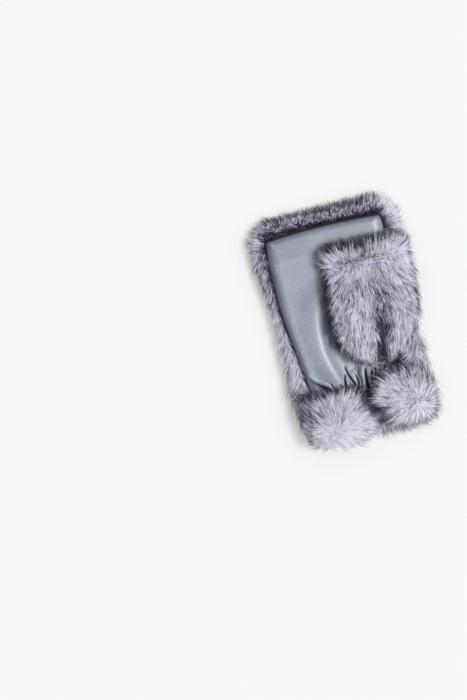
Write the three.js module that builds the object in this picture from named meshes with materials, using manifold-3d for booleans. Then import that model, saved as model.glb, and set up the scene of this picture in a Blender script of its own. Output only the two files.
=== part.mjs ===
// A fur fingerless glove for the right hand, lying palm up on its furry back.
// Its pieces are a fur pelt for the back of the hand, a leather palm gathered at the wrist, a fur thumb sleeve
// with a turned fur edge at its mouth, and a fur wrist cuff whose two ends meet on the palm side.
// The hand goes in through the cuff, the fingers come out at +Y, and the thumb comes out of its own sleeve.
// Sizes are in millimetres. +Y points to the finger opening, +X to the thumb's side, +Z up out of the palm.
import * as THREE from "three";
import { mergeVertices } from "three/addons/utils/BufferGeometryUtils.js";
import Module from "manifold-3d";

const wasm = await Module();
wasm.setup();

// Driving sizes
const LEATHER_THICK = 1.2;
const HEM_THICK = 2.0;
const HEM_DEPTH = 22;
const WRIST_Y = -62;
const GATHER_Y = -56.5;
const FINGER_EDGE_Y = 80.6;
const SEAM_MIDDLE = -1.5;

// A lock of fur: how long and wide it is, how high its ridge stands, and how far it lifts off the pelt.
const LOCK = { length: 15, width: 9.6, ridge: 2.6, lift: 0.3, root: 1.5 };
// Specks of the union smaller than this are merged away.
const TIDY = 0.18;

// Where the leather is sewn to the pelt, from the wrist to the finger opening.
const SEAM_ROWS = [
  { y: -62, left: -36.8, right: 39.6 },
  { y: -56, left: -40.4, right: 41.6 },
  { y: -34, left: -44.4, right: 44.0 },
  { y: -22, left: -46.1, right: 45.5 },
  { y: -2, left: -49.1, right: 47.2 },
  { y: 18, left: -51.3, right: 48.4 },
  { y: 40, left: -51.9, right: 48.9 },
  { y: 58, left: -52.6, right: 49.0 },
  { y: 76, left: -51.0, right: 48.4 },
  { y: 80.6, left: -50.0, right: 45.6 },
];

// The back pelt: its outermost left and right, the rim beside the seam, the hollow's floor and its underside.
const BACK_ROWS = [
  { y: -56.6, left: -51.0, right: 53.5, rim: 15.2, floor: 8.6, bottom: 1.6 },
  { y: -42, left: -52.3, right: 55.2, rim: 16.6, floor: 8.6, bottom: 1.6 },
  { y: -20, left: -52.6, right: 54.6, rim: 17.0, floor: 8.6, bottom: 1.6 },
  { y: 0, left: -53.2, right: 55.8, rim: 17.0, floor: 8.6, bottom: 1.6 },
  { y: 20, left: -55.2, right: 57.2, rim: 17.0, floor: 8.6, bottom: 1.6 },
  { y: 42, left: -57.4, right: 59.0, rim: 16.9, floor: 8.6, bottom: 1.6 },
  { y: 56, left: -59.0, right: 60.0, rim: 16.2, floor: 8.6, bottom: 1.6 },
  { y: 75, left: -60.0, right: 60.2, rim: 16.0, floor: 8.9, bottom: 1.6 },
  { y: 81, left: -58.4, right: 58.8, rim: 15.6, floor: 10.0, bottom: 1.8 },
  { y: 85.5, left: -55.6, right: 56.0, rim: 14.0, floor: 11.2, bottom: 2.2 },
  { y: 89, left: -51.6, right: 52.0, rim: 12.4, floor: 11.2, bottom: 3.6 },
  { y: 91.5, left: -46.0, right: 46.6, rim: 10.4, floor: 9.8, bottom: 5.6 },
];

// The pelt's side in section, from under the leather's edge, over the roll, to the underside.
// out runs from 0 at the seam to 1 at the outermost, and up from 0 at the underside to 1 at the rim.
const SIDE_PROFILE = [
  { inward: 3.0, out: 0, up: 1.0 },
  { inward: -1.4, out: 0, up: 1.02 },
  { inward: 0, out: 0.72, up: 0.86 },
  { inward: 0, out: 1.0, up: 0.52 },
  { inward: 0, out: 0.78, up: 0.16 },
  { inward: 4.5, out: 0.3, up: 0.0 },
];

// The same side on the hollow's face: how far inward of the seam, and how far up from its floor to the rim.
const HOLLOW_PROFILE = [
  { inward: 3.0, up: 0.74 },
  { inward: 2.2, up: 0.58 },
  { inward: 2.0, up: 0.42 },
  { inward: 2.4, up: 0.24 },
  { inward: 3.8, up: 0.08 },
  { inward: 7.0, up: 0.0 },
];
const FLOOR_STEPS = 4;

// The leather's height at its edges and how far its middle crowns above them.
const LEATHER_ROWS = [
  { y: -62, edge: 17.8, crown: 3.4 },
  { y: -56, edge: 18.0, crown: 3.2 },
  { y: -46, edge: 18.2, crown: 2.8 },
  { y: -30, edge: 18.6, crown: 2.5 },
  { y: -10, edge: 18.7, crown: 2.6 },
  { y: 40, edge: 18.7, crown: 2.8 },
  { y: 80.6, edge: 18.4, crown: 2.6 },
];

// The soft ridge that the leather makes beside the thumb.
const RIDGE_ROWS = [
  { y: -44, x: -13.5, rise: 0.6 },
  { y: -38, x: -15.3, rise: 1.5 },
  { y: -25, x: -18.3, rise: 2.3 },
  { y: -12, x: -21.4, rise: 2.2 },
  { y: 2, x: -21.1, rise: 1.6 },
  { y: 20, x: -20.4, rise: 0.5 },
  { y: 32, x: -20.0, rise: 0.0 },
];
const RIDGE_WIDTH = 6.5;

// The folds that the elastic draws up at the wrist: where each starts, how it leans, how far it reaches and rises.
const GATHERS = [
  { x: -31, lean: -0.95, reach: 16, rise: 1.5, width: 3.4 },
  { x: -23.5, lean: -0.7, reach: 13, rise: 1.7, width: 2.3 },
  { x: -17.5, lean: -0.6, reach: 17, rise: 2.0, width: 2.5 },
  { x: -11.5, lean: -0.25, reach: 19, rise: 2.3, width: 2.2 },
  { x: -6.0, lean: -0.2, reach: 16, rise: 2.0, width: 1.9 },
  { x: -1.0, lean: -0.1, reach: 20, rise: 2.5, width: 2.0 },
  { x: 4.5, lean: 0.05, reach: 24, rise: 2.6, width: 2.3 },
  { x: 10.0, lean: 0.1, reach: 18, rise: 2.1, width: 1.9 },
  { x: 15.0, lean: 0.2, reach: 20, rise: 2.3, width: 2.0 },
  { x: 20.5, lean: 0.3, reach: 18, rise: 2.0, width: 1.9 },
  { x: 26.0, lean: 0.4, reach: 15, rise: 1.8, width: 2.1 },
  { x: 33.0, lean: 0.5, reach: 13, rise: 1.2, width: 2.6 },
];
const LEATHER_COLUMNS = 36;
const LEATHER_STEPS = [0, 0.04, 0.08, 0.125, 0.18, 0.25, 0.36, 0.54, 0.825, 0.845, 0.97, 1];

// The thumb sleeve and its turned edge: outer left and right, and outer underside and top.
const THUMB_ROWS = [
  { y: -38, left: 17, right: 26, bottom: 23.6, top: 29.5 },
  { y: -35, left: 10, right: 32, bottom: 22.6, top: 34 },
  { y: -30, left: 4, right: 39, bottom: 21.9, top: 38.5 },
  { y: -23, left: -3, right: 46, bottom: 21.9, top: 41 },
  { y: -13, left: -8, right: 51.5, bottom: 21.9, top: 42.5 },
  { y: -1, left: -10.6, right: 55.5, bottom: 21.9, top: 43.5 },
  { y: 14, left: -9.2, right: 57.4, bottom: 21.9, top: 44 },
  { y: 29, left: -8, right: 58.2, bottom: 21.9, top: 44 },
  { y: 44, left: -6, right: 59.4, bottom: 22.0, top: 42.5 },
];
const THUMB_EDGE_ROWS = [
  { y: 44.4, left: -6, right: 59.4, bottom: 22.0, top: 42.5 },
  { y: 49, left: -5.6, right: 59.4, bottom: 22.2, top: 43.4 },
  { y: 53.5, left: -3.2, right: 57.4, bottom: 23.8, top: 42.4 },
  { y: 56.6, left: 1.4, right: 53, bottom: 25.4, top: 39.4 },
];
const THUMB_HOLLOW_ROWS = [
  { y: -28, left: 12, right: 32, bottom: 27, top: 30.5 },
  { y: -22, left: 6, right: 38, bottom: 27, top: 32 },
  { y: -10, left: 2, right: 44, bottom: 27, top: 34.4 },
  { y: 10, left: 2, right: 47, bottom: 27, top: 35.5 },
  { y: 45, left: 4, right: 48.5, bottom: 27.2, top: 35.8 },
  { y: 53, left: 4, right: 48.5, bottom: 27.2, top: 36 },
  { y: 58, left: 3, right: 50, bottom: 26.6, top: 37 },
];
const THUMB_SQUARENESS = 2.7;
// How far the sleeve's underside droops over the leather's lower right edge.
const SLEEVE_DROOP = 2.4;
const THUMB_SIDES = 20;
const HOLLOW_SIDES = 14;

// The valley that the fur folds into between the thumb sleeve's two lobes.
const VALLEY_ROWS = [
  { y: -38, x: 22.0, depth: 1.5 },
  { y: -30, x: 22.3, depth: 5.0 },
  { y: -20, x: 23.5, depth: 6.2 },
  { y: -6, x: 24.8, depth: 3.8 },
  { y: 7, x: 25.1, depth: 1.6 },
  { y: 22, x: 25.0, depth: 0.0 },
];
const VALLEY_WIDTH = 6;

// The hole through which the hand's hollow opens into the thumb sleeve.
const THUMB_HOLE = { x: 22, y: -11, halfX: 13, halfY: 9.5, sides: 16 };

// The cuff's band, from its left end at the slit, round the wrist's left, back and right, to its right end.
// x and z follow the band's middle; top and bottom are its edges towards the fingers and the arm.
const CUFF_ROWS = [
  { x: 0.6, z: 28.0, thick: 6, top: -66, bottom: -88 },
  { x: -3.5, z: 29.0, thick: 11, top: -61, bottom: -93.5 },
  { x: -15, z: 30.0, thick: 14, top: -59.5, bottom: -96.5 },
  { x: -30, z: 29.0, thick: 14, top: -59.5, bottom: -96.5 },
  { x: -41, z: 24.5, thick: 12.5, top: -59, bottom: -94 },
  { x: -46.5, z: 15.5, thick: 11, top: -57.6, bottom: -91 },
  { x: -40.5, z: 7.8, thick: 9.4, top: -57.1, bottom: -90.5 },
  { x: -23, z: 5.8, thick: 8.4, top: -57.1, bottom: -91 },
  { x: 0, z: 5.7, thick: 8.4, top: -57.1, bottom: -92 },
  { x: 26, z: 5.8, thick: 8.4, top: -57.1, bottom: -93.5 },
  { x: 43.5, z: 7.8, thick: 9.4, top: -57.1, bottom: -92.5 },
  { x: 50, z: 15.8, thick: 11, top: -57, bottom: -90 },
  { x: 46.5, z: 25.5, thick: 12.5, top: -54, bottom: -87.5 },
  { x: 36.5, z: 30.5, thick: 14, top: -51.5, bottom: -87 },
  { x: 22.5, z: 31.5, thick: 14, top: -52.5, bottom: -86.5 },
  { x: 11, z: 30.6, thick: 11.5, top: -55.5, bottom: -84.5 },
  { x: 6.6, z: 29.6, thick: 6, top: -61, bottom: -79.5 },
];
const CUFF_SIDES = 12;
const CUFF_SQUARENESS = 2.6;

// The points from which the fur of the cuff's two ends spreads.
const WHORLS = { left: new THREE.Vector3(-30, -90, 37), right: new THREE.Vector3(46, -75, 38) };

// A value of a table's column at y, on a smooth curve through its rows.
function column(rows, key, y) {
  const last = rows.length - 1;
  if (y <= rows[0].y) return rows[0][key];
  if (y >= rows[last].y) return rows[last][key];
  const i = rows.findIndex((row, n) => n < last && y < rows[n + 1].y);
  const at = (n) => rows[Math.min(Math.max(n, 0), last)];
  const span = at(i + 1).y - at(i).y;
  const t = (y - at(i).y) / span;
  const slope = (n) => ((at(n + 1)[key] - at(n - 1)[key]) / (at(n + 1).y - at(n - 1).y)) * span;
  const [a, b] = [at(i)[key], at(i + 1)[key]];
  const [da, db] = [slope(i), slope(i + 1)];
  return a + da * t + (3 * (b - a) - 2 * da - db) * t * t + (2 * (a - b) + da + db) * t * t * t;
}

const bell = (distance, width) => Math.exp(-((distance / width) ** 2));
const mix = (a, b, share) => a + (b - a) * share;

// A repeatable spread of numbers from 0 to 1, one for each index.
function vary(index) {
  const wave = Math.sin(index * 12.9898 + 4.1414) * 43758.5453;
  return wave - Math.floor(wave);
}

// One point of a round-cornered oval, as shares of its half width and half height.
function ovalPoint(angle, squareness) {
  const power = 2 / squareness;
  const [c, s] = [Math.cos(angle), Math.sin(angle)];
  return [Math.sign(c) * Math.abs(c) ** power, Math.sign(s) * Math.abs(s) ** power];
}

// A manifold solid from points and triangles, turned to face outwards.
function solidFrom(points, triangles) {
  const geometry = new THREE.BufferGeometry();
  geometry.setAttribute("position", new THREE.Float32BufferAttribute(points.flatMap((p) => [p.x, p.y, p.z]), 3));
  geometry.setIndex(triangles.flat());
  const volume = triangles.reduce(
    (sum, [a, b, c]) => sum + points[a].dot(new THREE.Vector3().crossVectors(points[b], points[c])),
    0,
  );
  const merged = mergeVertices(geometry, 1e-4);
  const index = Uint32Array.from(merged.index.array);
  if (volume < 0) for (let i = 0; i < index.length; i += 3) [index[i], index[i + 1]] = [index[i + 1], index[i]];
  return new wasm.Manifold(
    new wasm.Mesh({ numProp: 3, vertProperties: merged.getAttribute("position").array, triVerts: index }),
  );
}

// The two triangles of a quad whose corners run in order.
const quad = (a, b, c, d) => [
  [a, b, c],
  [a, c, d],
];

// A wall between two grids of points with the same rows and columns, closed round its four borders.
function wallSolid(outer, inner) {
  const [rows, columns] = [outer.length, outer[0].length];
  const points = [...outer.flat(), ...inner.flat()];
  const o = (r, c) => r * columns + c;
  const i = (r, c) => rows * columns + o(r, c);
  const triangles = [];
  for (let r = 0; r + 1 < rows; r++)
    for (let c = 0; c + 1 < columns; c++) {
      triangles.push(...quad(o(r, c), o(r, c + 1), o(r + 1, c + 1), o(r + 1, c)));
      triangles.push(...quad(i(r, c), i(r + 1, c), i(r + 1, c + 1), i(r, c + 1)));
    }
  for (let c = 0; c + 1 < columns; c++) {
    triangles.push(...quad(o(0, c), i(0, c), i(0, c + 1), o(0, c + 1)));
    triangles.push(...quad(o(rows - 1, c), o(rows - 1, c + 1), i(rows - 1, c + 1), i(rows - 1, c)));
  }
  for (let r = 0; r + 1 < rows; r++) {
    triangles.push(...quad(o(r, 0), o(r + 1, 0), i(r + 1, 0), i(r, 0)));
    triangles.push(...quad(o(r, columns - 1), i(r, columns - 1), i(r + 1, columns - 1), o(r + 1, columns - 1)));
  }
  return solidFrom(points, triangles);
}

// A solid lofted through closed rings, each end closed by a fan round its middle.
function loftSolid(rings) {
  const sides = rings[0].length;
  const points = rings.flat();
  const triangles = [];
  for (let r = 0; r + 1 < rings.length; r++)
    for (let s = 0; s < sides; s++) {
      const next = (s + 1) % sides;
      triangles.push(...quad(r * sides + s, r * sides + next, (r + 1) * sides + next, (r + 1) * sides + s));
    }
  for (const end of [0, rings.length - 1]) {
    const middle = points.length;
    const sum = rings[end].reduce((total, p) => total.add(p), new THREE.Vector3());
    points.push(sum.divideScalar(sides));
    for (let s = 0; s < sides; s++) {
      const pair = [end * sides + s, end * sides + ((s + 1) % sides)];
      triangles.push(end === 0 ? [middle, pair[1], pair[0]] : [middle, pair[0], pair[1]]);
    }
  }
  return solidFrom(points, triangles);
}

// A bent three-sided lock of fur that grows from the pelt at root, leans along flow and lifts off along normal.
// No point of it goes below lowest.
function lockSolid(root, normal, flow, index, lowest, size = 1) {
  const lean = flow.clone().addScaledVector(normal, -flow.dot(normal)).normalize();
  const across = new THREE.Vector3().crossVectors(normal, lean);
  lean.addScaledVector(across, (vary(index) - 0.5) * 0.5).normalize();
  across.crossVectors(normal, lean);
  const length = LOCK.length * size * (0.85 + 0.3 * vary(index + 0.37));
  const width = LOCK.width * size * (0.88 + 0.24 * vary(index + 0.71));
  const lift = LOCK.lift * (0.75 + 0.5 * vary(index + 0.13));
  const stations = [
    { along: -0.12, up: -LOCK.root, half: width * 0.36, ridge: LOCK.ridge * 0.5 },
    { along: 0.42, up: length * 0.42 * lift, half: width * 0.5, ridge: LOCK.ridge * size },
  ];
  const rings = stations.map(({ along, up, half, ridge }) => {
    const middle = root.clone().addScaledVector(lean, along * length).addScaledVector(normal, up - ridge * 0.4);
    return [
      middle.clone().addScaledVector(across, half),
      middle.clone().addScaledVector(normal, ridge),
      middle.clone().addScaledVector(across, -half),
    ];
  });
  const tip = root.clone().addScaledVector(lean, length * 0.95).addScaledVector(normal, length * lift * 0.62);
  const points = [...rings.flat(), tip];
  for (const point of points) point.z = Math.max(point.z, lowest);
  const sides = [0, 1, 2].flatMap((s) => {
    const next = (s + 1) % 3;
    return [...quad(s, next, 3 + next, 3 + s), [3 + s, 3 + next, 6]];
  });
  return solidFrom(points, [[2, 1, 0], ...sides]);
}

// The backing with its locks grown into it, cut flat where it lies on the ground.
function fuse(backing, locks) {
  return wasm.Manifold.union([backing, ...locks]).trimByPlane([0, 0, 1], 0).simplify(TIDY);
}

// Walks a run of points that goes from left to right and calls place at even steps, with the point there and the
// run's normal on its left hand.
function alongRun(run, step, start, place) {
  let [walked, next] = [0, start];
  for (let i = 0; i + 1 < run.length; i++) {
    const [a, b] = [run[i], run[i + 1]];
    const length = a.distanceTo(b);
    while (next <= walked + length) {
      const point = a.clone().lerp(b, (next - walked) / length);
      const direction = b.clone().sub(a).normalize();
      place(point, new THREE.Vector3(-direction.z, 0, direction.x));
      next += step;
    }
    walked += length;
  }
}

// Back pelt

// The pelt's seam line is kept inside its own outline where the pelt runs on past the leather.
function peltSeam(side, y) {
  const outermost = column(BACK_ROWS, side, y);
  const seam = column(SEAM_ROWS, side, y);
  return side === "left" ? Math.max(seam, outermost + 6) : Math.min(seam, outermost - 6);
}

// One section of the pelt as two runs of points, its fur face and its hollow face, from left to right.
function peltSection(y) {
  const [rim, floor, bottom] = ["rim", "floor", "bottom"].map((key) => column(BACK_ROWS, key, y));
  const side = (name) => {
    const [sign, seam, outermost] = [name === "left" ? -1 : 1, peltSeam(name, y), column(BACK_ROWS, name, y)];
    const skew = Math.max(0, y - 80) * 0.12;
    const point = (x, z) => new THREE.Vector3(x, y + (skew * x) / 50, z);
    const fur = SIDE_PROFILE.map(({ inward, out, up }) =>
      point(mix(seam, outermost, out) - sign * inward, mix(bottom, rim, up)),
    );
    const hollow = HOLLOW_PROFILE.map(({ inward, up }) => point(seam - sign * inward, mix(floor, rim, up)));
    return { fur, hollow };
  };
  const [left, right] = [side("left"), side("right")];
  const across = (a, b) =>
    Array.from({ length: FLOOR_STEPS - 1 }, (_, i) => a.clone().lerp(b, (i + 1) / FLOOR_STEPS));
  const join = (a, b) => [...a, ...across(a[a.length - 1], b[b.length - 1]), ...b.slice().reverse()];
  return { fur: join(left.fur, right.fur), hollow: join(left.hollow, right.hollow) };
}

function backPelt() {
  const sections = BACK_ROWS.map(({ y }) => peltSection(y));
  const backing = wallSolid(
    sections.map((s) => s.fur),
    sections.map((s) => s.hollow),
  );
  const locks = [];
  const add = (point, normal, flow, lowest, size) =>
    locks.push(lockSolid(point, normal, flow, locks.length, lowest, size));

  // Rows of locks down the rolled sides and over the underside, every second row set half a step over.
  const [sideStep, underStep] = [10.6, 14];
  for (let row = 0; row < 12; row++) {
    const y = -44 + row * sideStep;
    const fan = Math.max(0, (y - 66) / 14);
    for (const side of [-1, 1])
      for (const spot of row % 2 ? [1.9, 2.9] : [2.2, 3.5]) {
        const underThumb = side > 0 && y > -34 && y < 56 && spot < 2.5;
        if (underThumb) continue;
        const run = peltSection(y).fur;
        const half = side < 0 ? run : run.slice().reverse();
        const [a, b] = [half[Math.floor(spot)], half[Math.floor(spot) + 1]];
        const normal = new THREE.Vector3(b.z - a.z, 0, a.x - b.x).multiplyScalar(side).normalize();
        const flow = new THREE.Vector3(side * (0.5 + 0.5 * fan), mix(-1, 0.5, fan), spot < 3 ? 0.1 : -0.1);
        add(a.clone().lerp(b, spot % 1), normal, flow, -4, 0.85);
      }
  }
  for (let row = 0; row < 9; row++) {
    const y = -42 + row * 15;
    for (let x = -37 + (row % 2) * underStep * 0.5; x <= 38; x += underStep) {
      const bottom = column(BACK_ROWS, "bottom", y);
      const flow = new THREE.Vector3(x / 250, -1, 0);
      add(new THREE.Vector3(x, y, bottom), new THREE.Vector3(0, 0, -1), flow, -4, 1.15);
    }
  }

  // Two rows round the rolled finger edge.
  const fingerRows = [
    { y: 87.5, z: 11.0, normal: new THREE.Vector3(0, 0.5, 1), reach: 49, size: 0.62 },
    { y: 89.5, z: 5.6, normal: new THREE.Vector3(0, 0.9, -0.5), reach: 46, size: 0.6 },
  ];
  for (const [row, { y, z, normal, reach, size }] of fingerRows.entries())
    for (let x = -reach + (row % 2) * 5; x <= reach; x += 10) {
      const flow = new THREE.Vector3((x / 50) ** 3, 1, row === 1 ? -0.2 : 0.25);
      add(new THREE.Vector3(x, y + 0.04 * x, z), normal.clone().normalize(), flow, -4, size);
    }
  return fuse(backing, locks);
}

// Leather palm

// The leather's upper face at a share of the way across and of the way from the wrist to the finger edge.
function leatherPoint(across, along) {
  const nominal = mix(WRIST_Y, FINGER_EDGE_Y, along);
  const x = mix(column(SEAM_ROWS, "left", nominal), column(SEAM_ROWS, "right", nominal), across);
  const fingerEdge = FINGER_EDGE_Y - 3.3 * ((x - 12) / 62) ** 2;
  const wristEdge = WRIST_Y + 0.045 * (x + 35);
  const y = mix(wristEdge, fingerEdge, along);
  const offEdge = Math.abs(2 * across - 1);
  let z = column(LEATHER_ROWS, "edge", y) + column(LEATHER_ROWS, "crown", y) * (1 - offEdge ** 4);
  z += column(RIDGE_ROWS, "rise", y) * bell(x - column(RIDGE_ROWS, "x", y), RIDGE_WIDTH);
  for (const { x: start, lean, reach, rise, width } of GATHERS) {
    const up = y - GATHER_Y - 0.045 * (x + 41);
    const fade = up > 0 ? Math.max(0, 1 - up / reach) : Math.max(0, 1 + up / 6);
    z += rise * fade * bell(x - start - lean * up, width * (1 + Math.max(0, up) / 30));
  }
  return new THREE.Vector3(x, y, z);
}

// Two closed rings, one over the other, make an upright oval plug that cuts the thumb's hole.
function holePlug(low, high, grow) {
  const ring = (z) =>
    Array.from({ length: THUMB_HOLE.sides }, (_, i) => {
      const angle = (2 * Math.PI * i) / THUMB_HOLE.sides;
      return new THREE.Vector3(
        THUMB_HOLE.x + (THUMB_HOLE.halfX + grow) * Math.cos(angle),
        THUMB_HOLE.y + (THUMB_HOLE.halfY + grow) * Math.sin(angle),
        z,
      );
    });
  return loftSolid([ring(low), ring(high)]);
}

function palmLeather() {
  const hemStart = 1 - HEM_DEPTH / (FINGER_EDGE_Y - WRIST_Y);
  const [upper, lower] = [[], []];
  for (const along of LEATHER_STEPS) {
    const row = Array.from({ length: LEATHER_COLUMNS + 1 }, (_, i) => leatherPoint(i / LEATHER_COLUMNS, along));
    const inHem = along > hemStart;
    if (inHem) for (const p of row) p.z += (HEM_THICK - LEATHER_THICK) / 2;
    if (along === 1) for (const p of row) p.z -= HEM_THICK / 4;
    upper.push(row);
    const thick = along === 1 ? HEM_THICK / 2 : inHem ? HEM_THICK : LEATHER_THICK;
    lower.push(row.map((p) => p.clone().setZ(p.z - thick)));
  }
  return wallSolid(upper, lower).subtract(holePlug(5, 40, 0)).simplify(0.01);
}

// Thumb sleeve

// One ring of the sleeve at y, with the valley pressed into its upper side when it is the fur's face.
function sleeveRing(rows, y, sides, valley) {
  const [left, right, bottom, top] = ["left", "right", "bottom", "top"].map((key) => column(rows, key, y));
  return Array.from({ length: sides }, (_, i) => {
    const [c, s] = ovalPoint((2 * Math.PI * (i + 0.5)) / sides, THUMB_SQUARENESS);
    const point = new THREE.Vector3(mix(left, right, (1 + c) / 2), y, mix(bottom, top, (1 + s) / 2));
    if (valley && s > 0)
      point.z -= s * column(VALLEY_ROWS, "depth", y) * bell(point.x - column(VALLEY_ROWS, "x", y), VALLEY_WIDTH);
    if (valley && s < 0) point.z -= SLEEVE_DROOP * Math.max(0, (point.x - 22) / 35) ** 2;
    return point;
  });
}

function sleeveHollow() {
  return loftSolid(THUMB_HOLLOW_ROWS.map(({ y }) => sleeveRing(THUMB_HOLLOW_ROWS, y, HOLLOW_SIDES, false)));
}

// The way the fur lies on the sleeve: down to the wrist over its top, and outward at its two sides.
function sleeveFlow(point, direction) {
  const off = (point.x - 25) / 34;
  return new THREE.Vector3(1.1 * off * Math.abs(off) ** 1.5, direction, -0.25 * Math.abs(off));
}

function sleeveLocks(rows, stations, step, direction, size) {
  const locks = [];
  const lowest = 22.3;
  for (const [row, y] of stations.entries()) {
    const ring = sleeveRing(rows, y, THUMB_SIDES, true);
    const upper = ring.slice(0, THUMB_SIDES / 2 + 1).reverse();
    upper.unshift(ring[THUMB_SIDES / 2 + 1]);
    upper.push(ring[THUMB_SIDES - 1]);
    alongRun(upper, step, 2 + (row % 2) * step * 0.5, (point, normal) => {
      locks.push(lockSolid(point, normal, sleeveFlow(point, direction), locks.length + 500, lowest, size));
    });
  }
  return locks;
}

function thumbFur() {
  const backing = loftSolid(THUMB_ROWS.map(({ y }) => sleeveRing(THUMB_ROWS, y, THUMB_SIDES, true)));
  const stations = [40, 29, 18, 7, -4, -14, -23, -30];
  const locks = sleeveLocks(THUMB_ROWS, stations, 11.5, -1, 0.9);
  return fuse(backing, locks).subtract(sleeveHollow()).subtract(holePlug(15, 29, 0));
}

function thumbEdgeFur() {
  const backing = loftSolid(THUMB_EDGE_ROWS.map(({ y }) => sleeveRing(THUMB_EDGE_ROWS, y, THUMB_SIDES, true)));
  const locks = sleeveLocks(THUMB_EDGE_ROWS, [47.5, 52.5], 9.5, 1, 0.66);
  return fuse(backing, locks).subtract(sleeveHollow());
}

// Wrist cuff

// One ring of the cuff's band, a pillow-shaped section square to the band's path.
function cuffRing(index) {
  const row = CUFF_ROWS[index];
  const [before, after] = [CUFF_ROWS[Math.max(index - 1, 0)], CUFF_ROWS[Math.min(index + 1, CUFF_ROWS.length - 1)]];
  const outward = new THREE.Vector3(after.z - before.z, 0, before.x - after.x).normalize();
  const [middle, half] = [(row.top + row.bottom) / 2, (row.top - row.bottom) / 2];
  return Array.from({ length: CUFF_SIDES }, (_, i) => {
    const [c, s] = ovalPoint((2 * Math.PI * i) / CUFF_SIDES, CUFF_SQUARENESS);
    return new THREE.Vector3(row.x, middle + half * c, row.z).addScaledVector(outward, (s * row.thick) / 2);
  });
}

// The way the fur lies on the cuff: away from each end's whorl above, and towards the arm below.
function cuffFlow(point, palmSide) {
  if (!palmSide) return new THREE.Vector3(Math.sign(point.x) * 0.3, -1, 0);
  const whorl = point.x < 4 ? WHORLS.left : WHORLS.right;
  return point.clone().sub(whorl).setZ(-0.2);
}

function cuffFur() {
  const rings = CUFF_ROWS.map((_, index) => cuffRing(index));
  const backing = loftSolid(rings);
  const outerFace = (ring) => ring.slice(0, CUFF_SIDES / 2 + 1);
  const locks = [];
  const shares = [0.05, 0.32, 0.6, 0.86];
  for (const [index, row] of CUFF_ROWS.entries()) {
    const palmSide = row.z > 20;
    const start = index % 2 ? 0 : 0.12;
    for (const share of index % 16 ? shares : shares.slice(1, 3)) {
      const place = (start + share) * (CUFF_SIDES / 2);
      const face = outerFace(rings[index]);
      const step = Math.min(Math.floor(place), face.length - 2);
      const point = face[step].clone().lerp(face[step + 1], place - step);
      const slope = face[step + 1].clone().sub(face[step]);
      const path = rings[Math.min(index + 1, rings.length - 1)][step]
        .clone()
        .sub(rings[Math.max(index - 1, 0)][step]);
      const normal = new THREE.Vector3().crossVectors(slope, path).normalize();
      const middle = new THREE.Vector3(row.x, (row.top + row.bottom) / 2, row.z);
      if (normal.dot(point.clone().sub(middle)) < 0) normal.negate();
      const lowest = palmSide && point.y > -64 ? 24.4 : -4;
      locks.push(lockSolid(point, normal, cuffFlow(point, palmSide), locks.length + 900, lowest, 0.86));
    }
  }
  return fuse(backing, locks);
}

// Assembly

const FUR = new THREE.MeshStandardMaterial({ color: 0xa9a5b8, roughness: 0.85, metalness: 0 });
const EDGE_FUR = new THREE.MeshStandardMaterial({ color: 0xbab6c6, roughness: 0.85, metalness: 0 });
const LEATHER = new THREE.MeshStandardMaterial({ color: 0x86909d, roughness: 0.48, metalness: 0 });

// A named mesh of a manifold solid.
function piece(name, solid, material) {
  const mesh = solid.getMesh();
  const geometry = new THREE.BufferGeometry();
  geometry.setAttribute("position", new THREE.BufferAttribute(Float32Array.from(mesh.vertProperties), 3));
  geometry.setIndex(new THREE.BufferAttribute(Uint32Array.from(mesh.triVerts), 1));
  geometry.computeVertexNormals();
  const made = new THREE.Mesh(geometry, material);
  made.name = name;
  return made;
}

const glove = new THREE.Group();
glove.add(piece("back_fur", backPelt(), FUR));
glove.add(piece("palm_leather", palmLeather(), LEATHER));
glove.add(piece("thumb_fur", thumbFur(), FUR));
glove.add(piece("thumb_edge_fur", thumbEdgeFur(), EDGE_FUR));
glove.add(piece("cuff_fur", cuffFur(), FUR));

// The glove's own frame has its origin under its middle, on the surface that it lies on.
const box = new THREE.Box3().setFromObject(glove);
const middle = box.getCenter(new THREE.Vector3());
glove.position.set(-middle.x, -middle.y, -box.min.z);

export default glove;
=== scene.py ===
"""A right-hand fingerless glove of fur and leather, lying palm up on its furry back.

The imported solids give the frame. Each of them is dressed by a sub-assembly: a shell with the same form as the
solid, and on the fur pieces a dense down and longer guard hairs. Sizes are in millimetres and in the glove's
own axes: +Y towards the finger opening, +X towards the thumb's side and +Z up out of the palm.
"""

import logging
import math
from dataclasses import dataclass
from enum import Enum
from typing import Callable, NamedTuple

import bpy
import numpy as np
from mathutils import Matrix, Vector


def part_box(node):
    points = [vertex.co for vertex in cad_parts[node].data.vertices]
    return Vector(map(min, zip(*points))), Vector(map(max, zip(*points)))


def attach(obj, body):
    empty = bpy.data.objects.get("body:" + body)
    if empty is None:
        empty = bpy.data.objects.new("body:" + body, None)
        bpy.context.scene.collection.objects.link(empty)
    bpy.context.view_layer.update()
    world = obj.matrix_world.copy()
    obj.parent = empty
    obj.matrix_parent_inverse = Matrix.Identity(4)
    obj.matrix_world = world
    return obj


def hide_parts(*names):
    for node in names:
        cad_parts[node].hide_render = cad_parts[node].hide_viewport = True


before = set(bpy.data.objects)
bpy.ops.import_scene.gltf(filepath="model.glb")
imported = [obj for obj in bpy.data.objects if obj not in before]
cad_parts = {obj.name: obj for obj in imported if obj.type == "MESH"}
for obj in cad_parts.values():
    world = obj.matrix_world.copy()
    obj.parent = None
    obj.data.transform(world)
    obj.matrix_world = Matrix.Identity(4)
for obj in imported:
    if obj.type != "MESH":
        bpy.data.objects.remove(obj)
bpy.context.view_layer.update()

LOG = logging.getLogger("glove")
Array = np.ndarray
Colour = tuple[float, float, float]
Point = tuple[float, float, float]
Stops = tuple[tuple[float, Colour], ...]
Rng = np.random.Generator
Object = bpy.types.Object
Material = bpy.types.Material

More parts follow.
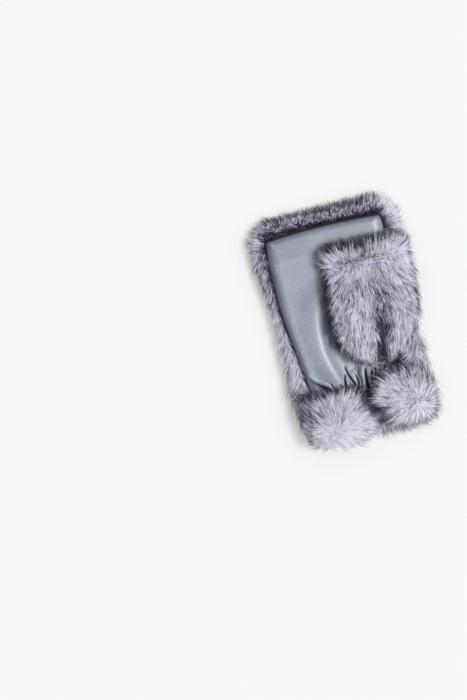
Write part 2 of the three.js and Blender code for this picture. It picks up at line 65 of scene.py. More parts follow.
MM = 0.001
BODY = "root"
HAIR_MAP = "OFBake"
# The leather's mark for its painted shade.
SHADE_MARK = "rim"
BARE_MARK = "bare"
# The leather's mark for painted highlights, partly wear, on crests, and painted shade, partly dirt, in creases.
PAINTED_LIGHT_AND_WEAR_MARK = "fold"


class Slot(Enum):
    """The record's material slots."""

    FUR = "fur"
    LEATHER = "leather"


class Table:
    """A shape's sizes at places along it. The first column is the place, which grows from row to row."""

    def __init__(self, names: str, *rows: tuple[float, ...]) -> None:
        """Takes the columns' names, with spaces between them, and the rows."""
        self.names = names.split()
        self.rows = np.array(rows, float)

    def column(self, name: str) -> Array:
        """The numbers in one column."""
        return self.rows[:, self.names.index(name)]

    def at(self, name: str, place: Array | float) -> Array:
        """Reads a column on a smooth curve through its rows.

        Args:
            name: The column's name.
            place: Where to read it.

        Returns:
            The column's value at each place.
        """
        places, values = self.rows[:, 0], self.column(name)
        last = len(places) - 1
        inside = np.clip(np.asarray(place, float), places[0], places[-1])
        at = np.clip(np.searchsorted(places, inside, side="right") - 1, 0, last - 1)
        before = np.concatenate([[0], np.arange(last)])
        after = np.concatenate([np.arange(1, last + 1), [last]])
        slopes = (values[after] - values[before]) / (places[after] - places[before])
        span = places[at + 1] - places[at]
        t = (inside - places[at]) / span
        a, b = values[at], values[at + 1]
        da, db = slopes[at] * span, slopes[at + 1] * span
        return a + da * t + (3 * (b - a) - 2 * da - db) * t**2 + (2 * (a - b) + da + db) * t**3

    def sides(self, place: Array | float) -> tuple[Array, Array]:
        """The left and the right column at each place."""
        return self.at("left", place), self.at("right", place)


class Gather(NamedTuple):
    """One fold drawn up at the wrist."""

    x: float
    lean: float
    reach: float
    rise: float
    width: float


class Crease(NamedTuple):
    """A sharp groove between two folds, from one end to the other, bowed sideways between them."""

    x: float
    y: float
    end_x: float
    end_y: float
    depth: float
    width: float
    bow: float


class ToneAndLightPatch(NamedTuple):
    """A soft patch where the fur is painted paler or darker, partly its own tone and partly painted light and
    shade, with its half widths and its tone.
    """

    x: float
    y: float
    half_x: float
    half_y: float
    tone: float


# Where the leather is sewn to the pelt on each side.
SEAM = Table(
    "y left right",
    (-62, -36.8, 39.6), (-56, -40.4, 41.6), (-34, -44.4, 44.0), (-22, -46.1, 45.5), (-2, -49.1, 47.2),
    (18, -51.3, 48.4), (40, -51.9, 48.9), (58, -52.6, 49.0), (76, -51.0, 48.4), (80.6, -50.0, 45.6),
)
# The back pelt's sections: its outermost sides, its rim, the hollow's floor and its underside.
PELT = Table(
    "y left right rim floor bottom",
    (-56.6, -51.0, 53.5, 15.2, 8.6, 1.6), (-42, -52.3, 55.2, 16.6, 8.6, 1.6),
    (-20, -52.6, 54.6, 17.0, 8.6, 1.6), (0, -53.2, 55.8, 17.0, 8.6, 1.6), (20, -55.2, 57.2, 17.0, 8.6, 1.6),
    (42, -57.4, 59.0, 16.9, 8.6, 1.6), (56, -59.0, 60.0, 16.2, 8.6, 1.6), (75, -60.0, 60.2, 16.0, 8.9, 1.6),
    (81, -58.4, 58.8, 15.6, 10.0, 1.8), (85.5, -55.6, 56.0, 14.0, 11.2, 2.2),
    (89, -51.6, 52.0, 12.4, 11.2, 3.6), (91.5, -46.0, 46.6, 10.4, 9.8, 5.6),
)
# The pelt's side in section: how far inward, how far out from the seam, and how far up from its underside.
SIDE_PROFILE = (
    (3.0, 0, 1.0), (-1.4, 0, 1.02), (0, 0.72, 0.86), (0, 1.0, 0.52), (0, 0.78, 0.16), (4.5, 0.3, 0.0),
)
# The same side on the hollow's face: how far inward of the seam, and how far up from the hollow's floor.
HOLLOW_PROFILE = ((3.0, 0.74), (2.2, 0.58), (2.0, 0.42), (2.4, 0.24), (3.8, 0.08), (7.0, 0.0))
FLOOR_STEPS = 4

# The leather's height at its edges, and how far its middle crowns above them.
CROWN = Table(
    "y edge crown",
    (-62, 17.8, 3.4), (-56, 18.0, 3.2), (-46, 18.2, 2.8), (-30, 18.6, 2.5), (-10, 18.7, 2.6),
    (40, 18.7, 2.8), (80.6, 18.4, 2.6),
)
# The soft ridge beside the thumb, which runs down into the gathers.
RIDGE = Table(
    "y x rise",
    (-57, -13.0, 2.2), (-49, -15.8, 2.7), (-39, -19.8, 2.9), (-29, -23.0, 3.0), (-20, -24.8, 3.0),
    (-9, -25.0, 2.8), (2, -24.8, 2.3), (16, -23.5, 1.3), (32, -22.5, 0.0),
)
GATHERS = tuple(
    Gather(*row)
    for row in (
        (-21.0, -0.6, 11, 2.0, 1.5), (-9.2, 0.0, 10, 2.6, 1.3), (-5.2, -0.1, 9, 2.2, 1.1),
        (-2.0, -0.05, 14, 3.2, 1.5), (3.2, 0.19, 24, 3.8, 2.0), (8.4, 0.15, 17, 3.2, 1.6),
        (12.9, 0.25, 15, 3.0, 1.5), (17.6, 0.3, 15, 3.0, 1.6), (22.6, 0.35, 13, 2.8, 1.7),
        (28.0, 0.45, 12, 2.4, 1.9), (34.0, 0.5, 10, 1.6, 2.4),
    )
)
CREASES = tuple(
    Crease(*row)
    for row in (
        (-24.2, -46.5, -20.8, -55.0, 1.8, 0.8, 0.5), (-16.8, -48.5, -13.6, -56.5, 1.8, 0.7, 0.4),
        (-9.2, -41.0, -10.8, -57.0, 2.4, 0.9, -1.0), (-9.0, -34.0, -1.4, -57.0, 3.0, 1.0, -1.4),
        (-3.4, -41.0, -0.6, -56.0, 2.0, 0.7, 1.0), (2.6, -44.5, 1.6, -57.0, 2.0, 0.7, 0.3),
        (7.6, -38.0, 7.2, -58.0, 2.8, 1.1, -0.7), (11.8, -42.5, 10.2, -57.0, 1.8, 0.7, 0.3),
        (15.4, -37.0, 13.0, -57.0, 2.6, 1.0, 0.9), (19.4, -41.5, 16.6, -56.0, 2.2, 0.8, 0.5),
        (24.0, -40.5, 20.4, -55.0, 2.2, 0.9, 0.4), (29.6, -39.0, 25.2, -55.0, 2.0, 0.9, 0.0),
    )
)
# The edge of the leather that is folded over at the wrist's outer corner.
FLAP = Table(
    "y x",
    (-58, -14.0), (-52.5, -23.3), (-47.5, -31.0), (-42.4, -37.0), (-34.8, -42.6), (-28, -46.0),
)

# The thumb's sleeve in sections, then its turned edge and its hollow.
THUMB = Table(
    "y left right bottom top",
    (-38, 17, 26, 23.6, 29.5), (-35, 10, 32, 22.6, 34), (-30, 4, 39, 21.9, 38.5), (-23, -3, 46, 21.9, 41),
    (-13, -8, 51.5, 21.9, 42.5), (-1, -10.6, 55.5, 21.9, 43.5), (14, -9.2, 57.4, 21.9, 44),
    (29, -8, 58.2, 21.9, 44), (44, -6, 59.4, 22.0, 42.5),
)
THUMB_EDGE = Table(
    "y left right bottom top",
    (44.4, -6, 59.4, 22.0, 42.5), (49, -5.6, 59.4, 22.2, 43.4), (53.5, -3.2, 57.4, 23.8, 42.4),
    (56.6, 1.4, 53, 25.4, 39.4),
)
THUMB_HOLLOW = Table(
    "y left right bottom top",
    (-28, 12, 32, 27, 30.5), (-22, 6, 38, 27, 32), (-10, 2, 44, 27, 34.4), (10, 2, 47, 27, 35.5),
    (45, 4, 48.5, 27.2, 35.8), (53, 4, 48.5, 27.2, 36), (58, 3, 50, 26.6, 37),
)
# The valley between the thumb sleeve's two lobes.
VALLEY = Table(
    "y x depth",
    (-38, 22.0, 1.5), (-30, 22.3, 5.0), (-20, 23.5, 6.2), (-6, 24.8, 3.8), (7, 25.1, 1.6), (22, 25.0, 0.0),
)
# The cuff's upper border over the palm.
BORDER = Table(
    "x border",
    (-50, -58.0), (-30, -59.5), (-10, -59.8), (2, -65.0), (8, -63.0), (14, -58.5), (20, -54.5), (34, -51.5),
    (46, -54.0), (56, -57.0),
)
# The cuff's band in sections, on its way round the wrist.
BAND = Table(
    "x z thick top bottom",
    (0.6, 28.0, 6, -66, -88), (-3.5, 29.0, 11, -61, -93.5), (-15, 30.0, 14, -59.5, -96.5),
    (-30, 29.0, 14, -59.5, -96.5), (-41, 24.5, 12.5, -59, -94), (-46.5, 15.5, 11, -57.6, -91),
    (-40.5, 7.8, 9.4, -57.1, -90.5), (-23, 5.8, 8.4, -57.1, -91), (0, 5.7, 8.4, -57.1, -92),
    (26, 5.8, 8.4, -57.1, -93.5), (43.5, 7.8, 9.4, -57.1, -92.5), (50, 15.8, 11, -57, -90),
    (46.5, 25.5, 12.5, -54, -87.5), (36.5, 30.5, 14, -51.5, -87), (22.5, 31.5, 14, -52.5, -86.5),
    (11, 30.6, 11.5, -55.5, -84.5), (6.6, 29.6, 6, -61, -79.5),
)
# Where the cuff's corners have shorter hair: the place, by what share, and how far round it.
CORNERS = ((-51, -90, 0.52, 14.0), (52, -92, 0.25, 9.0), (-52, -57, 0.35, 8.0), (10, -57, 0.6, 8.5))
# Patches of the fur's own tone and of painted light and painted shade.
TONE_AND_LIGHT_PATCHES = tuple(
    ToneAndLightPatch(*row)
    for row in (
        (-5, 18, 5, 12, -0.2), (2, 49, 6, 4, 0.12), (8, 4, 4, 10, 0.14), (34, 18, 10, 9, -0.13),
        (-1, 28, 5, 6, -0.14), (27, 4, 6, 15, -0.2), (45, -4, 6, 14, 0.08), (-6, -11, 4, 8, -0.18),
        (6, -27, 9, 7, 0.12), (22, 23, 26, 8, -0.08), (21, 48, 9, 3, -0.3), (33, -2, 7, 9, -0.24),
        (-47, -70, 8, 13, -0.42), (-56, -40, 5, 13, -0.5), (-55, 83, 6, 6, 0.2), (-43, -60, 8, 4, -0.25),
        (-20, -86, 22, 9, 0.3), (6, -87, 4, 4, 0.25), (54, -68, 5, 18, -0.35), (-30, -68, 14, 6, -0.2),
        (-8, -87, 12, 8, 0.1), (14, -76, 5, 8, -0.25), (37, -55, 14, 5, -0.2), (28, -95, 20, 4, -0.22),
        (32, -76, 13, 11, 0.16), (-53, 50, 3, 14, -0.3), (52, 66, 4, 9, -0.3), (12, 43.6, 8, 2.0, -0.6),
        (32, 44.5, 7, 1.5, -0.4), (-54, 3, 8, 26, 0.45), (0, 89.5, 38, 4, -0.24), (-36, 87, 12, 5, -0.25),
        (31, 86, 12, 6, -0.18), (54, 86, 7, 8, 0.3),
    )
)


def bell(distance: Array, width: Array | float) -> Array:
    """A smooth bump of height 1 and the given width."""
    return np.exp(-((distance / width) ** 2))


def ease(low: float, high: float, value: Array) -> Array:
    """Goes smoothly from 0 at low to 1 at high, which may be the smaller one."""
    t = np.clip((value - low) / (high - low), 0, 1)
    return t * t * (3 - 2 * t)


def band(places: tuple[float, float, float, float], value: Array) -> Array:
    """Rises from 0 to 1 between the first two places, and falls again between the last two."""
    return ease(places[0], places[1], value) * ease(places[3], places[2], value)


def unit(vectors: Array) -> Array:
    """Vectors of length 1 in the same directions."""
    return vectors / np.maximum(np.linalg.norm(vectors, axis=-1, keepdims=True), 1e-9)


def ways(x: Array, y: Array | float, z: Array | float = 0.0) -> Array:
    """Directions, from their parts along the three axes."""
    return np.stack(np.broadcast_arrays(x, y, z), -1)


def outwards(normals: Array, out: Array | tuple) -> Array:
    """The normals, all turned round if most of them point against their way out."""
    return normals * np.sign((normals * out).sum())


def between(places: Array, known: Array, line: Array) -> Array:
    """Points of a line at some places, from the places at which its own points are known."""
    return np.stack([np.interp(places, known, line[:, k]) for k in range(3)], -1)


def drift(points: Array, size: float, seed: int) -> Array:
    """Gives each point a number from -1 to 1 that changes smoothly over a distance of size.

    Args:
        points: The points, N by 3.
        size: The distance over which the number changes.
        seed: Which of the many such fields to use.

    Returns:
        One number for each point.
    """
    lattice = np.random.default_rng(seed).uniform(-1, 1, 4096)
    place = points / size + 1000.0
    low = np.floor(place).astype(np.int64)
    t = place - low
    t = t * t * (3 - 2 * t)
    total = np.zeros(len(points))
    for corner in np.ndindex(2, 2, 2):
        key = (low + corner) @ np.array([73856093, 19349663, 83492791])
        weight = np.prod(np.where(np.array(corner) == 1, t, 1 - t), axis=1)
        total += weight * lattice[key % 4096]
    return total


def tone_and_light(points: Array) -> Array:
    """Reads the patches of tone and of painted light and shade on the fur's upper side.

    Args:
        points: The points, N by 3.

    Returns:
        How much paler the fur is at each point.
    """
    x, y, z = points.T
    total = np.zeros(len(points))
    for patch in TONE_AND_LIGHT_PATCHES:
        total += patch.tone * bell(np.hypot((x - patch.x) / patch.half_x, (y - patch.y) / patch.half_y), 1.0)
    return total * ease(5, 9, z)


def smoothed(grid: Array, axis: int, steps: int) -> Array:
    """Puts new points between a grid's points, on smooth curves through them.

    Args:
        grid: Points, as rows by columns by 3.
        axis: Along which axis the curves run.
        steps: How many spans each span becomes.

    Returns:
        The finer grid.
    """
    points = np.moveaxis(grid, axis, 0)
    last = len(points) - 1
    at = np.arange(last * steps + 1) / steps
    whole = np.minimum(at.astype(int), last - 1)
    t = (at - whole).reshape(-1, *[1] * (points.ndim - 1))
    p0, p1, p2, p3 = (points[np.clip(whole + k, 0, last)] for k in (-1, 0, 1, 2))
    square = 2 * p0 - 5 * p1 + 4 * p2 - p3
    cube = 3 * p1 - p0 - 3 * p2 + p3
    return np.moveaxis(p1 + 0.5 * ((p2 - p0) * t + square * t**2 + cube * t**3), 0, axis)


def oval(sides: int, squareness: float, offset: float = 0.0) -> tuple[Array, Array]:
    """Places points round an oval with full corners.

    Args:
        sides: How many points.
        squareness: 2 for an ellipse, and more for fuller corners.
        offset: How far to turn them, as a share of a side.

    Returns:
        The points across and up, as shares of the oval's half width and half height.
    """
    angles = 2 * math.pi * (np.arange(sides) + offset) / sides
    c, s = np.cos(angles), np.sin(angles)
    power = 2 / squareness
    return np.sign(c) * np.abs(c) ** power, np.sign(s) * np.abs(s) ** power


def triangles_of(quads: Array) -> Array:
    """Each quad as two triangles."""
    return np.concatenate([quads[:, [0, 1, 2]], quads[:, [0, 2, 3]]])


def strip(index: Array) -> Array:
    """The triangles between neighbouring rows and columns of a grid of vertex numbers."""
    quads = np.stack([index[:-1, :-1], index[:-1, 1:], index[1:, 1:], index[1:, :-1]], -1)
    return triangles_of(quads.reshape(-1, 4))


def wall(outer: Array, inner: Array) -> tuple[Array, Array, Array]:
    """Closes the space between two grids of the same size.

    Args:
        outer: The outer face's points.
        inner: The inner face's points.

    Returns:
        The points, the triangles, and for each triangle whether it is on the inner face.
    """
    count = outer.shape[0] * outer.shape[1]
    index = np.arange(count).reshape(outer.shape[:2])
    rim = np.concatenate([index[0, :-1], index[:-1, -1], index[-1, :0:-1], index[:0:-1, 0]])
    after = np.roll(rim, -1)
    faces = [strip(index), strip(index + count)[:, ::-1]]
    faces.append(triangles_of(np.stack([after, rim, rim + count, after + count], -1)))
    inside = np.concatenate([np.full(len(f), i == 1) for i, f in enumerate(faces)])
    points = np.concatenate([outer.reshape(-1, 3), inner.reshape(-1, 3)])
    return points, np.concatenate(faces), inside


def tube(rings: Array, looped: bool = False) -> tuple[Array, Array]:
    """Skins a run of closed rings.

    Args:
        rings: The rings' points, as rings by sides by 3.
        looped: Whether the last ring joins the first. If it doesn't, each end is closed by a fan.

    Returns:
        The points and the triangles. Each pair of rings has twice as many triangles as a ring has sides.
    """
    count, sides = rings.shape[:2]
    index = np.arange(count * sides).reshape(count, sides)
    index = np.concatenate([index, index[:, :1]], axis=1)
    points = rings.reshape(-1, 3)
    if looped:
        return points, strip(np.concatenate([index, index[:1]]))
    faces = [strip(index)]
    for ring, turn in ((0, 1), (-1, -1)):
        middle = np.full(sides, len(points))
        points = np.concatenate([points, rings[ring].mean(axis=0, keepdims=True)])
        faces.append(np.stack([middle, index[ring, 1:], index[ring, :-1]], -1)[:, ::turn])
    return points, np.concatenate(faces)


class Spread:
    """Random places, spread evenly over a grid's surface."""

    def __init__(self, grid: Array, count: int, rng: Rng) -> None:
        """Chooses the places.

        Args:
            grid: The surface's points, as rows by columns by 3.
            count: How many places to choose.
            rng: The random numbers.
        """
        cells = np.cross(grid[1:, 1:] - grid[:-1, :-1], grid[1:, :-1] - grid[:-1, 1:])
        area = np.linalg.norm(cells, axis=-1)
        chosen = rng.choice(area.size, count, p=area.ravel() / area.sum())
        self.row, self.place = np.divmod(chosen, area.shape[1])
        self.u, self.v = rng.random((2, count, 1))
        self.grid = grid
        self.flat_normals = unit(cells[self.row, self.place])

    def read(self, values: Array) -> Array:
        """Reads a grid of values at the places.

        Args:
            values: One set of values for each of the surface's points.

        Returns:
            One set of values for each place.
        """
        row, place, u = self.row, self.place, self.u
        near = values[row, place] * (1 - u) + values[row, place + 1] * u
        far = values[row + 1, place] * (1 - u) + values[row + 1, place + 1] * u
        return near * (1 - self.v) + far * self.v

    def points(self) -> Array:
        """The places' points."""
        return self.read(self.grid)

    def normals(self) -> Array:
        """The surface's smooth unit normals at the places."""
        crossed = np.cross(np.gradient(self.grid, axis=1), np.gradient(self.grid, axis=0))
        return unit(self.read(unit(crossed)))


class Wire:
    """A node's socket in a material, with arithmetic that adds Math nodes."""

    def __init__(self, shader: "Shader", socket: bpy.types.NodeSocket) -> None:
        """Wraps an output of one of a shader's nodes."""
        self.shader = shader
        self.socket = socket

    def _math(self, operation: str, *values: "Wire | float") -> "Wire":
        """Adds one Math node."""
        return self.shader.add("ShaderNodeMath", {"operation": operation}, dict(enumerate(values)))

    def __add__(self, other: "Wire | float") -> "Wire":
        """This plus other."""
        return self._math("ADD", self, other)

    def __mul__(self, other: "Wire | float") -> "Wire":
        """This times other."""
        return self._math("MULTIPLY", self, other)

    def __sub__(self, other: "Wire | float") -> "Wire":
        """This less other."""
        return self._math("SUBTRACT", self, other)

    def __rsub__(self, other: float) -> "Wire":
        """Other less this."""
        return self._math("SUBTRACT", other, self)

    __radd__ = __add__
    __rmul__ = __mul__


Sockets = dict[str | int, Wire | Colour | float]


class Shader:
    """A new material with its Principled shader, and the nodes that feed it."""

    def __init__(self, name: str) -> None:
        """Makes the material.

        Args:
            name: The material's name.
        """
        self.material = bpy.data.materials.new(name)
        self.material.use_nodes = True
        self.tree = self.material.node_tree
        self.principled = self.tree.nodes["Principled BSDF"]

    def feed(self, node: bpy.types.Node, sockets: Sockets) -> None:
        """Links a node's sockets to wires, and sets plain values on them.

        Args:
            node: The node.
            sockets: Values or wires, by the socket's name or number.
        """
        for name, value in sockets.items():
            if isinstance(value, Wire):
                self.tree.links.new(value.socket, node.inputs[name])
            else:
                node.inputs[name].default_value = value

    def add(self, kind: str, settings: dict, sockets: Sockets, output: str | int = 0) -> Wire:
        """Adds any node.

        Args:
            kind: The node's type.
            settings: Its settings, or for a ramp its stops under the name stops.
            sockets: Values or wires, by the socket's name or number.
            output: The socket to hand back.

        Returns:
            The chosen output.
        """
        node = self.tree.nodes.new(kind)
        for name, value in settings.items():
            if name == "stops":
                self._set_stops(node, value)
            else:
                setattr(node, name, value)
        self.feed(node, sockets)
        return Wire(self, node.outputs[output])

    def _set_stops(self, node: bpy.types.Node, stops: Stops) -> None:
        """Gives a ramp its stops.

        Args:
            node: The ramp.
            stops: The places and colours.
        """
        elements = node.color_ramp.elements
        while len(elements) < len(stops):
            elements.new(1.0)
        for element, (place, colour) in zip(elements, stops):
            element.position = place
            element.color = (*colour, 1.0)

    def mix(self, share: Wire | float, first: Wire | Colour, second: Wire | Colour) -> Wire:
        """Mixes two colours.

        Args:
            share: The second colour's share.
            first: The first colour.
            second: The second colour.

        Returns:
            The mixed colour.
        """
        pair = [c if isinstance(c, Wire) else (*c, 1.0) for c in (first, second)]
        return self.add("ShaderNodeMix", {"data_type": "RGBA"}, {0: share, 6: pair[0], 7: pair[1]}, 2)

    def noise(self, scale: float, detail: float) -> Wire:
        """A noise pattern's value."""
        return self.add("ShaderNodeTexNoise", {}, {"Vector": self.place(), "Scale": scale, "Detail": detail})

    def place(self) -> Wire:
        """Object coordinates."""
        return self.add("ShaderNodeTexCoord", {}, {}, "Object")

    def mark(self, name: str) -> Wire:
        """A value that the piece's points carry."""
        return self.add("ShaderNodeAttribute", {"attribute_name": name}, {}, "Fac")

    def span(self, value: Wire, low: float, high: float) -> Wire:
        """How far a value is on its way from low to high, from 0 to 1."""
        return self.add("ShaderNodeMapRange", {}, {"Value": value, "From Min": low, "From Max": high})

    def relief(self, strength: float, height: float, form: Wire) -> Wire:
        """The normal of a relief with the given height in millimetres."""
        return self.add("ShaderNodeBump", {}, {"Strength": strength, "Distance": height * MM, "Height": form})


def tint(red: float, green: float, blue: float) -> Colour:
    """A colour as it looks on a screen, from 0 to 255, as the linear colour that a shader takes."""
    shares = [c / 255 for c in (red, green, blue)]
    return tuple(c / 12.92 if c <= 0.04045 else ((c + 0.055) / 1.055) ** 2.4 for c in shares)


def ramp(*stops: tuple[float, float, float, float]) -> Stops:
    """A ramp's stops, each from its place and its colour on a screen."""
    return tuple((place, tint(*colour)) for place, *colour in stops)


@dataclass(frozen=True)
class Finish:
    """A material's recipe, with the name that the pieces use."""

    name: str

    def make(self) -> Material:
        """Builds the material.

        Returns:
            The material.
        """
        shader = Shader(self.name)
        shader.feed(shader.principled, self.sockets(shader))
        return shader.material

    def sockets(self, shader: Shader) -> Sockets:
        """What each of the shader's sockets gets."""
        raise NotImplementedError


@dataclass(frozen=True)
class HairFinish(Finish):
    """Hair whose colour goes from root to tip, between a dark and a pale lock."""

    dark: Stops
    pale: Stops
    roughness: float

    def sockets(self, shader: Shader) -> Sockets:
        """Reads the hair's map, which holds its tone across and its length along.

        Args:
            shader: The shader to feed.

        Returns:
            What its sockets get.
        """
        place = shader.add("ShaderNodeUVMap", {"uv_map": HAIR_MAP}, {})
        tone, along = (shader.add("ShaderNodeSeparateXYZ", {}, {0: place}, axis) for axis in (0, 1))
        dark = shader.add("ShaderNodeValToRGB", {"stops": self.dark}, {0: along})
        pale = shader.add("ShaderNodeValToRGB", {"stops": self.pale}, {0: along})
        return {
            "Base Color": shader.mix(tone, dark, pale),
            "Roughness": self.roughness,
            "Specular IOR Level": 0.12,
        }


@dataclass(frozen=True)
class DownFinish(Finish):
    """The matt mass of down close to the pelt, seen between the hairs, painted near black as the shade deep in
    the coat.
    """

    deep: Colour
    light: Colour
    bare: Colour

    def sockets(self, shader: Shader) -> Sockets:
        """Mixes tufts and patches, and lets the paler skin show through where the fur parts.

        Args:
            shader: The shader to feed.

        Returns:
            What its sockets get.
        """
        patch = shader.noise(160.0, 3.0)
        tuft = shader.noise(900.0, 2.0)
        mass = shader.mix(patch * 0.5 + tuft * 0.5, self.deep, self.light)
        return {
            "Base Color": shader.mix(shader.mark(BARE_MARK), mass, self.bare),
            "Roughness": 0.95,
            "Normal": shader.relief(0.8, 0.8, tuft),
        }


@dataclass(frozen=True)
class SuedeFinish(Finish):
    """The pelt's skin side."""

    deep: Colour
    light: Colour

    def sockets(self, shader: Shader) -> Sockets:
        """Mixes the nap with broad patches.

        Args:
            shader: The shader to feed.

        Returns:
            What its sockets get.
        """
        nap = shader.noise(700.0, 6.0)
        patch = shader.noise(60.0, 3.0)
        return {
            "Base Color": shader.mix(nap * 0.4 + patch * 0.6, self.deep, self.light),
            "Roughness": nap * 0.1 + 0.85,
            "Normal": shader.relief(0.5, 0.3, nap),
        }


@dataclass(frozen=True)
class LeatherFinish(Finish):
    """Soft satin leather with a fine grain."""

    deep: Colour
    light: Colour
    # Painted shade; then the creases' colour, partly dirt and partly painted shade; then the crests', partly
    # wear and partly painted highlight.
    painted_shade: Colour
    dirt_and_shade: Colour
    wear_and_highlight: Colour
    grain: float
    roughness: float

    def sockets(self, shader: Shader) -> Sockets:
        """Lays the grain over clouds of colour, with painted shade on the rolled edges, a painted highlight
        that is partly wear on the crests, and painted shade that is partly dirt in the creases.

        Args:
            shader: The shader to feed.

        Returns:
            What its sockets get.
        """
        settings = {"feature": "DISTANCE_TO_EDGE"}
        pores = shader.add("ShaderNodeTexVoronoi", settings, {"Vector": shader.place(), "Scale": self.grain})
        cells = shader.span(pores, 0.0, 0.18)
        cloud = shader.noise(45.0, 4.0)
        fleck = shader.noise(self.grain * 1.7, 3.0)
        mottle = shader.noise(420.0, 4.0)
        shade = cloud * 0.35 + mottle * 0.45 + fleck * 0.2 + (cells - 1.0) * 0.1
        colour = shader.mix(shade, self.deep, self.light)
        # Painted shade on the rolled edges, beside the thumb, on the hem and at the wrist's thumb side.
        colour = shader.mix(shader.mark(SHADE_MARK) * 0.8, colour, self.painted_shade)
        fold = shader.mark(PAINTED_LIGHT_AND_WEAR_MARK)
        crest = shader.span(fold, 0.53, 0.95)
        crease = shader.span(fold, 0.47, 0.15)
        # A mottled painted highlight, partly wear, on the crests, and painted shade, partly dirt, in the
        # creases and the seams' line.
        colour = shader.mix(crest * (mottle * 1.1 + 0.2), colour, self.wear_and_highlight)
        rough = self.roughness + (0.5 - fleck) * 0.12 + (0.5 - cloud) * 0.1
        return {
            "Base Color": shader.mix(crease, colour, self.dirt_and_shade),
            "Roughness": rough + crease * 0.45,
            "Coat Weight": 0.8 - crease * 0.8,
            "Coat Roughness": 0.34,
            "Specular IOR Level": 0.6,
            "Normal": shader.relief(0.45, 0.3, cells * 0.3 + fleck * 0.25 + mottle * 1.2),
        }


@dataclass(frozen=True)
class ThreadFinish(Finish):
    """Twisted sewing thread."""

    colour: Colour

    def sockets(self, shader: Shader) -> Sockets:
        """Shades the thread's plies."""
        shaded = tuple(c * 0.6 for c in self.colour)
        return {"Base Color": shader.mix(shader.noise(1500.0, 1.0), shaded, self.colour), "Roughness": 0.7}


@dataclass(frozen=True)
class FloorFinish(Finish):
    """The plain pale surface that the glove lies on, lit a little from within so that shadows stay faint."""

    shade: float
    glow: float

    def sockets(self, shader: Shader) -> Sockets:
        """Sets plain values only.

        Args:
            shader: The shader to feed.

        Returns:
            What its sockets get.
        """
        return {
            "Base Color": (self.shade, self.shade, self.shade, 1.0),
            "Roughness": 0.9,
            "Specular IOR Level": 0.1,
            "Emission Color": (1.0, 1.0, 1.0, 1.0),
            "Emission Strength": self.glow,
        }


class Glove:
    """What the sub-assemblies share: the way from the tables' millimetres to the frame, and the finishes."""

    def __init__(self, shift: Array, finishes: dict[str, Material]) -> None:
        """Keeps the shift in millimetres and the finishes by name."""
        self.shift = shift
        self.finishes = finishes

    def spot(self, x: float, y: float, z: float) -> Point:
        """A point of the glove's own axes as a place in the frame, in metres."""
        return tuple((np.array([x, y, z]) + self.shift) * MM)

    def piece(
        self,
        name: str,
        points: Array,
        faces: Array,
        slot: Slot,
        finishes: tuple[str, ...],
        finish_of: Array | None = None,
        closed: bool = True,
    ) -> Object:
        """Makes a mesh piece that rides on the glove.

        Args:
            name: The piece's name.
            points: Its points in the glove's own axes.
            faces: Its triangles.
            slot: The record's material slot for its finish; not used.
            finishes: The names of its finishes.
            finish_of: Which of the finishes each triangle has.
            closed: Whether the piece is one closed shell, whose faces are turned outwards here.

        Returns:
            The new object.
        """
        corners = points[faces]
        if closed and np.einsum("ij,ij->i", corners[:, 0], np.cross(corners[:, 1], corners[:, 2])).sum() < 0:
            faces = faces[:, ::-1]
        mesh = bpy.data.meshes.new(name)
        mesh.vertices.add(len(points))
        mesh.vertices.foreach_set("co", ((points + self.shift) * MM).ravel())
        mesh.loops.add(faces.size)
        mesh.loops.foreach_set("vertex_index", faces.ravel().astype(np.int32))
        mesh.polygons.add(len(faces))
        mesh.polygons.foreach_set("loop_start", np.arange(0, faces.size, 3, dtype=np.int32))
        for finish in finishes:
            mesh.materials.append(self.finishes[finish])
        if finish_of is not None:
            mesh.polygons.foreach_set("material_index", finish_of.astype(np.int32))
        mesh.polygons.foreach_set("use_smooth", np.ones(len(faces), bool))
        mesh.update(calc_edges=True)
        made = bpy.data.objects.new(name, mesh)
        bpy.context.scene.collection.objects.link(made)
        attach(made, BODY)
        LOG.info("%s: %d triangles", name, len(faces))
        return made

    def pelt(self, name: str, points: Array, faces: Array, skin: Array) -> Object:
        """Makes a pelt's shell, with the down's painted shade on its fur side and suede on the faces that are
        skin.
        """
        return self.piece(name, points, faces, Slot.FUR, ("down_shade", "suede"), skin)


def mark(piece: Object, name: str, values: Array) -> None:
    """Gives a piece's points a named value each, for a finish to read."""
    piece.data.attributes.new(name, "FLOAT", "POINT").data.foreach_set("value", values)


@dataclass(frozen=True)
class Hole:
    """The thumb's upright oval hole, with its middle and its half widths."""

    x: float = 22.0
    y: float = -11.0
    half_x: float = 13.0
    half_y: float = 9.5
    middle_z: float = 17.0
    depth: float = 24.0

    def cut(self, glove: Glove, piece: Object) -> None:
        """Cuts the hole through a piece.

        Args:
            glove: The glove, for its place.
            piece: The piece to cut.
        """
        bpy.ops.object.select_all(action="DESELECT")
        bpy.ops.mesh.primitive_cylinder_add(
            vertices=48, radius=1.0, depth=self.depth * MM, location=glove.spot(self.x, self.y, self.middle_z)
        )
        cutter = bpy.context.active_object
        cutter.scale = (self.half_x * MM, self.half_y * MM, 1.0)
        bpy.ops.object.transform_apply(location=True, rotation=True, scale=True)
        bpy.context.view_layer.objects.active = piece
        bpy.ops.object.modifier_add(type="BOOLEAN")
        cut = piece.modifiers[-1]
        cut.operation = "DIFFERENCE"
        cut.object = cutter
        bpy.ops.object.modifier_apply(modifier=cut.name)
        bpy.data.objects.remove(cutter)


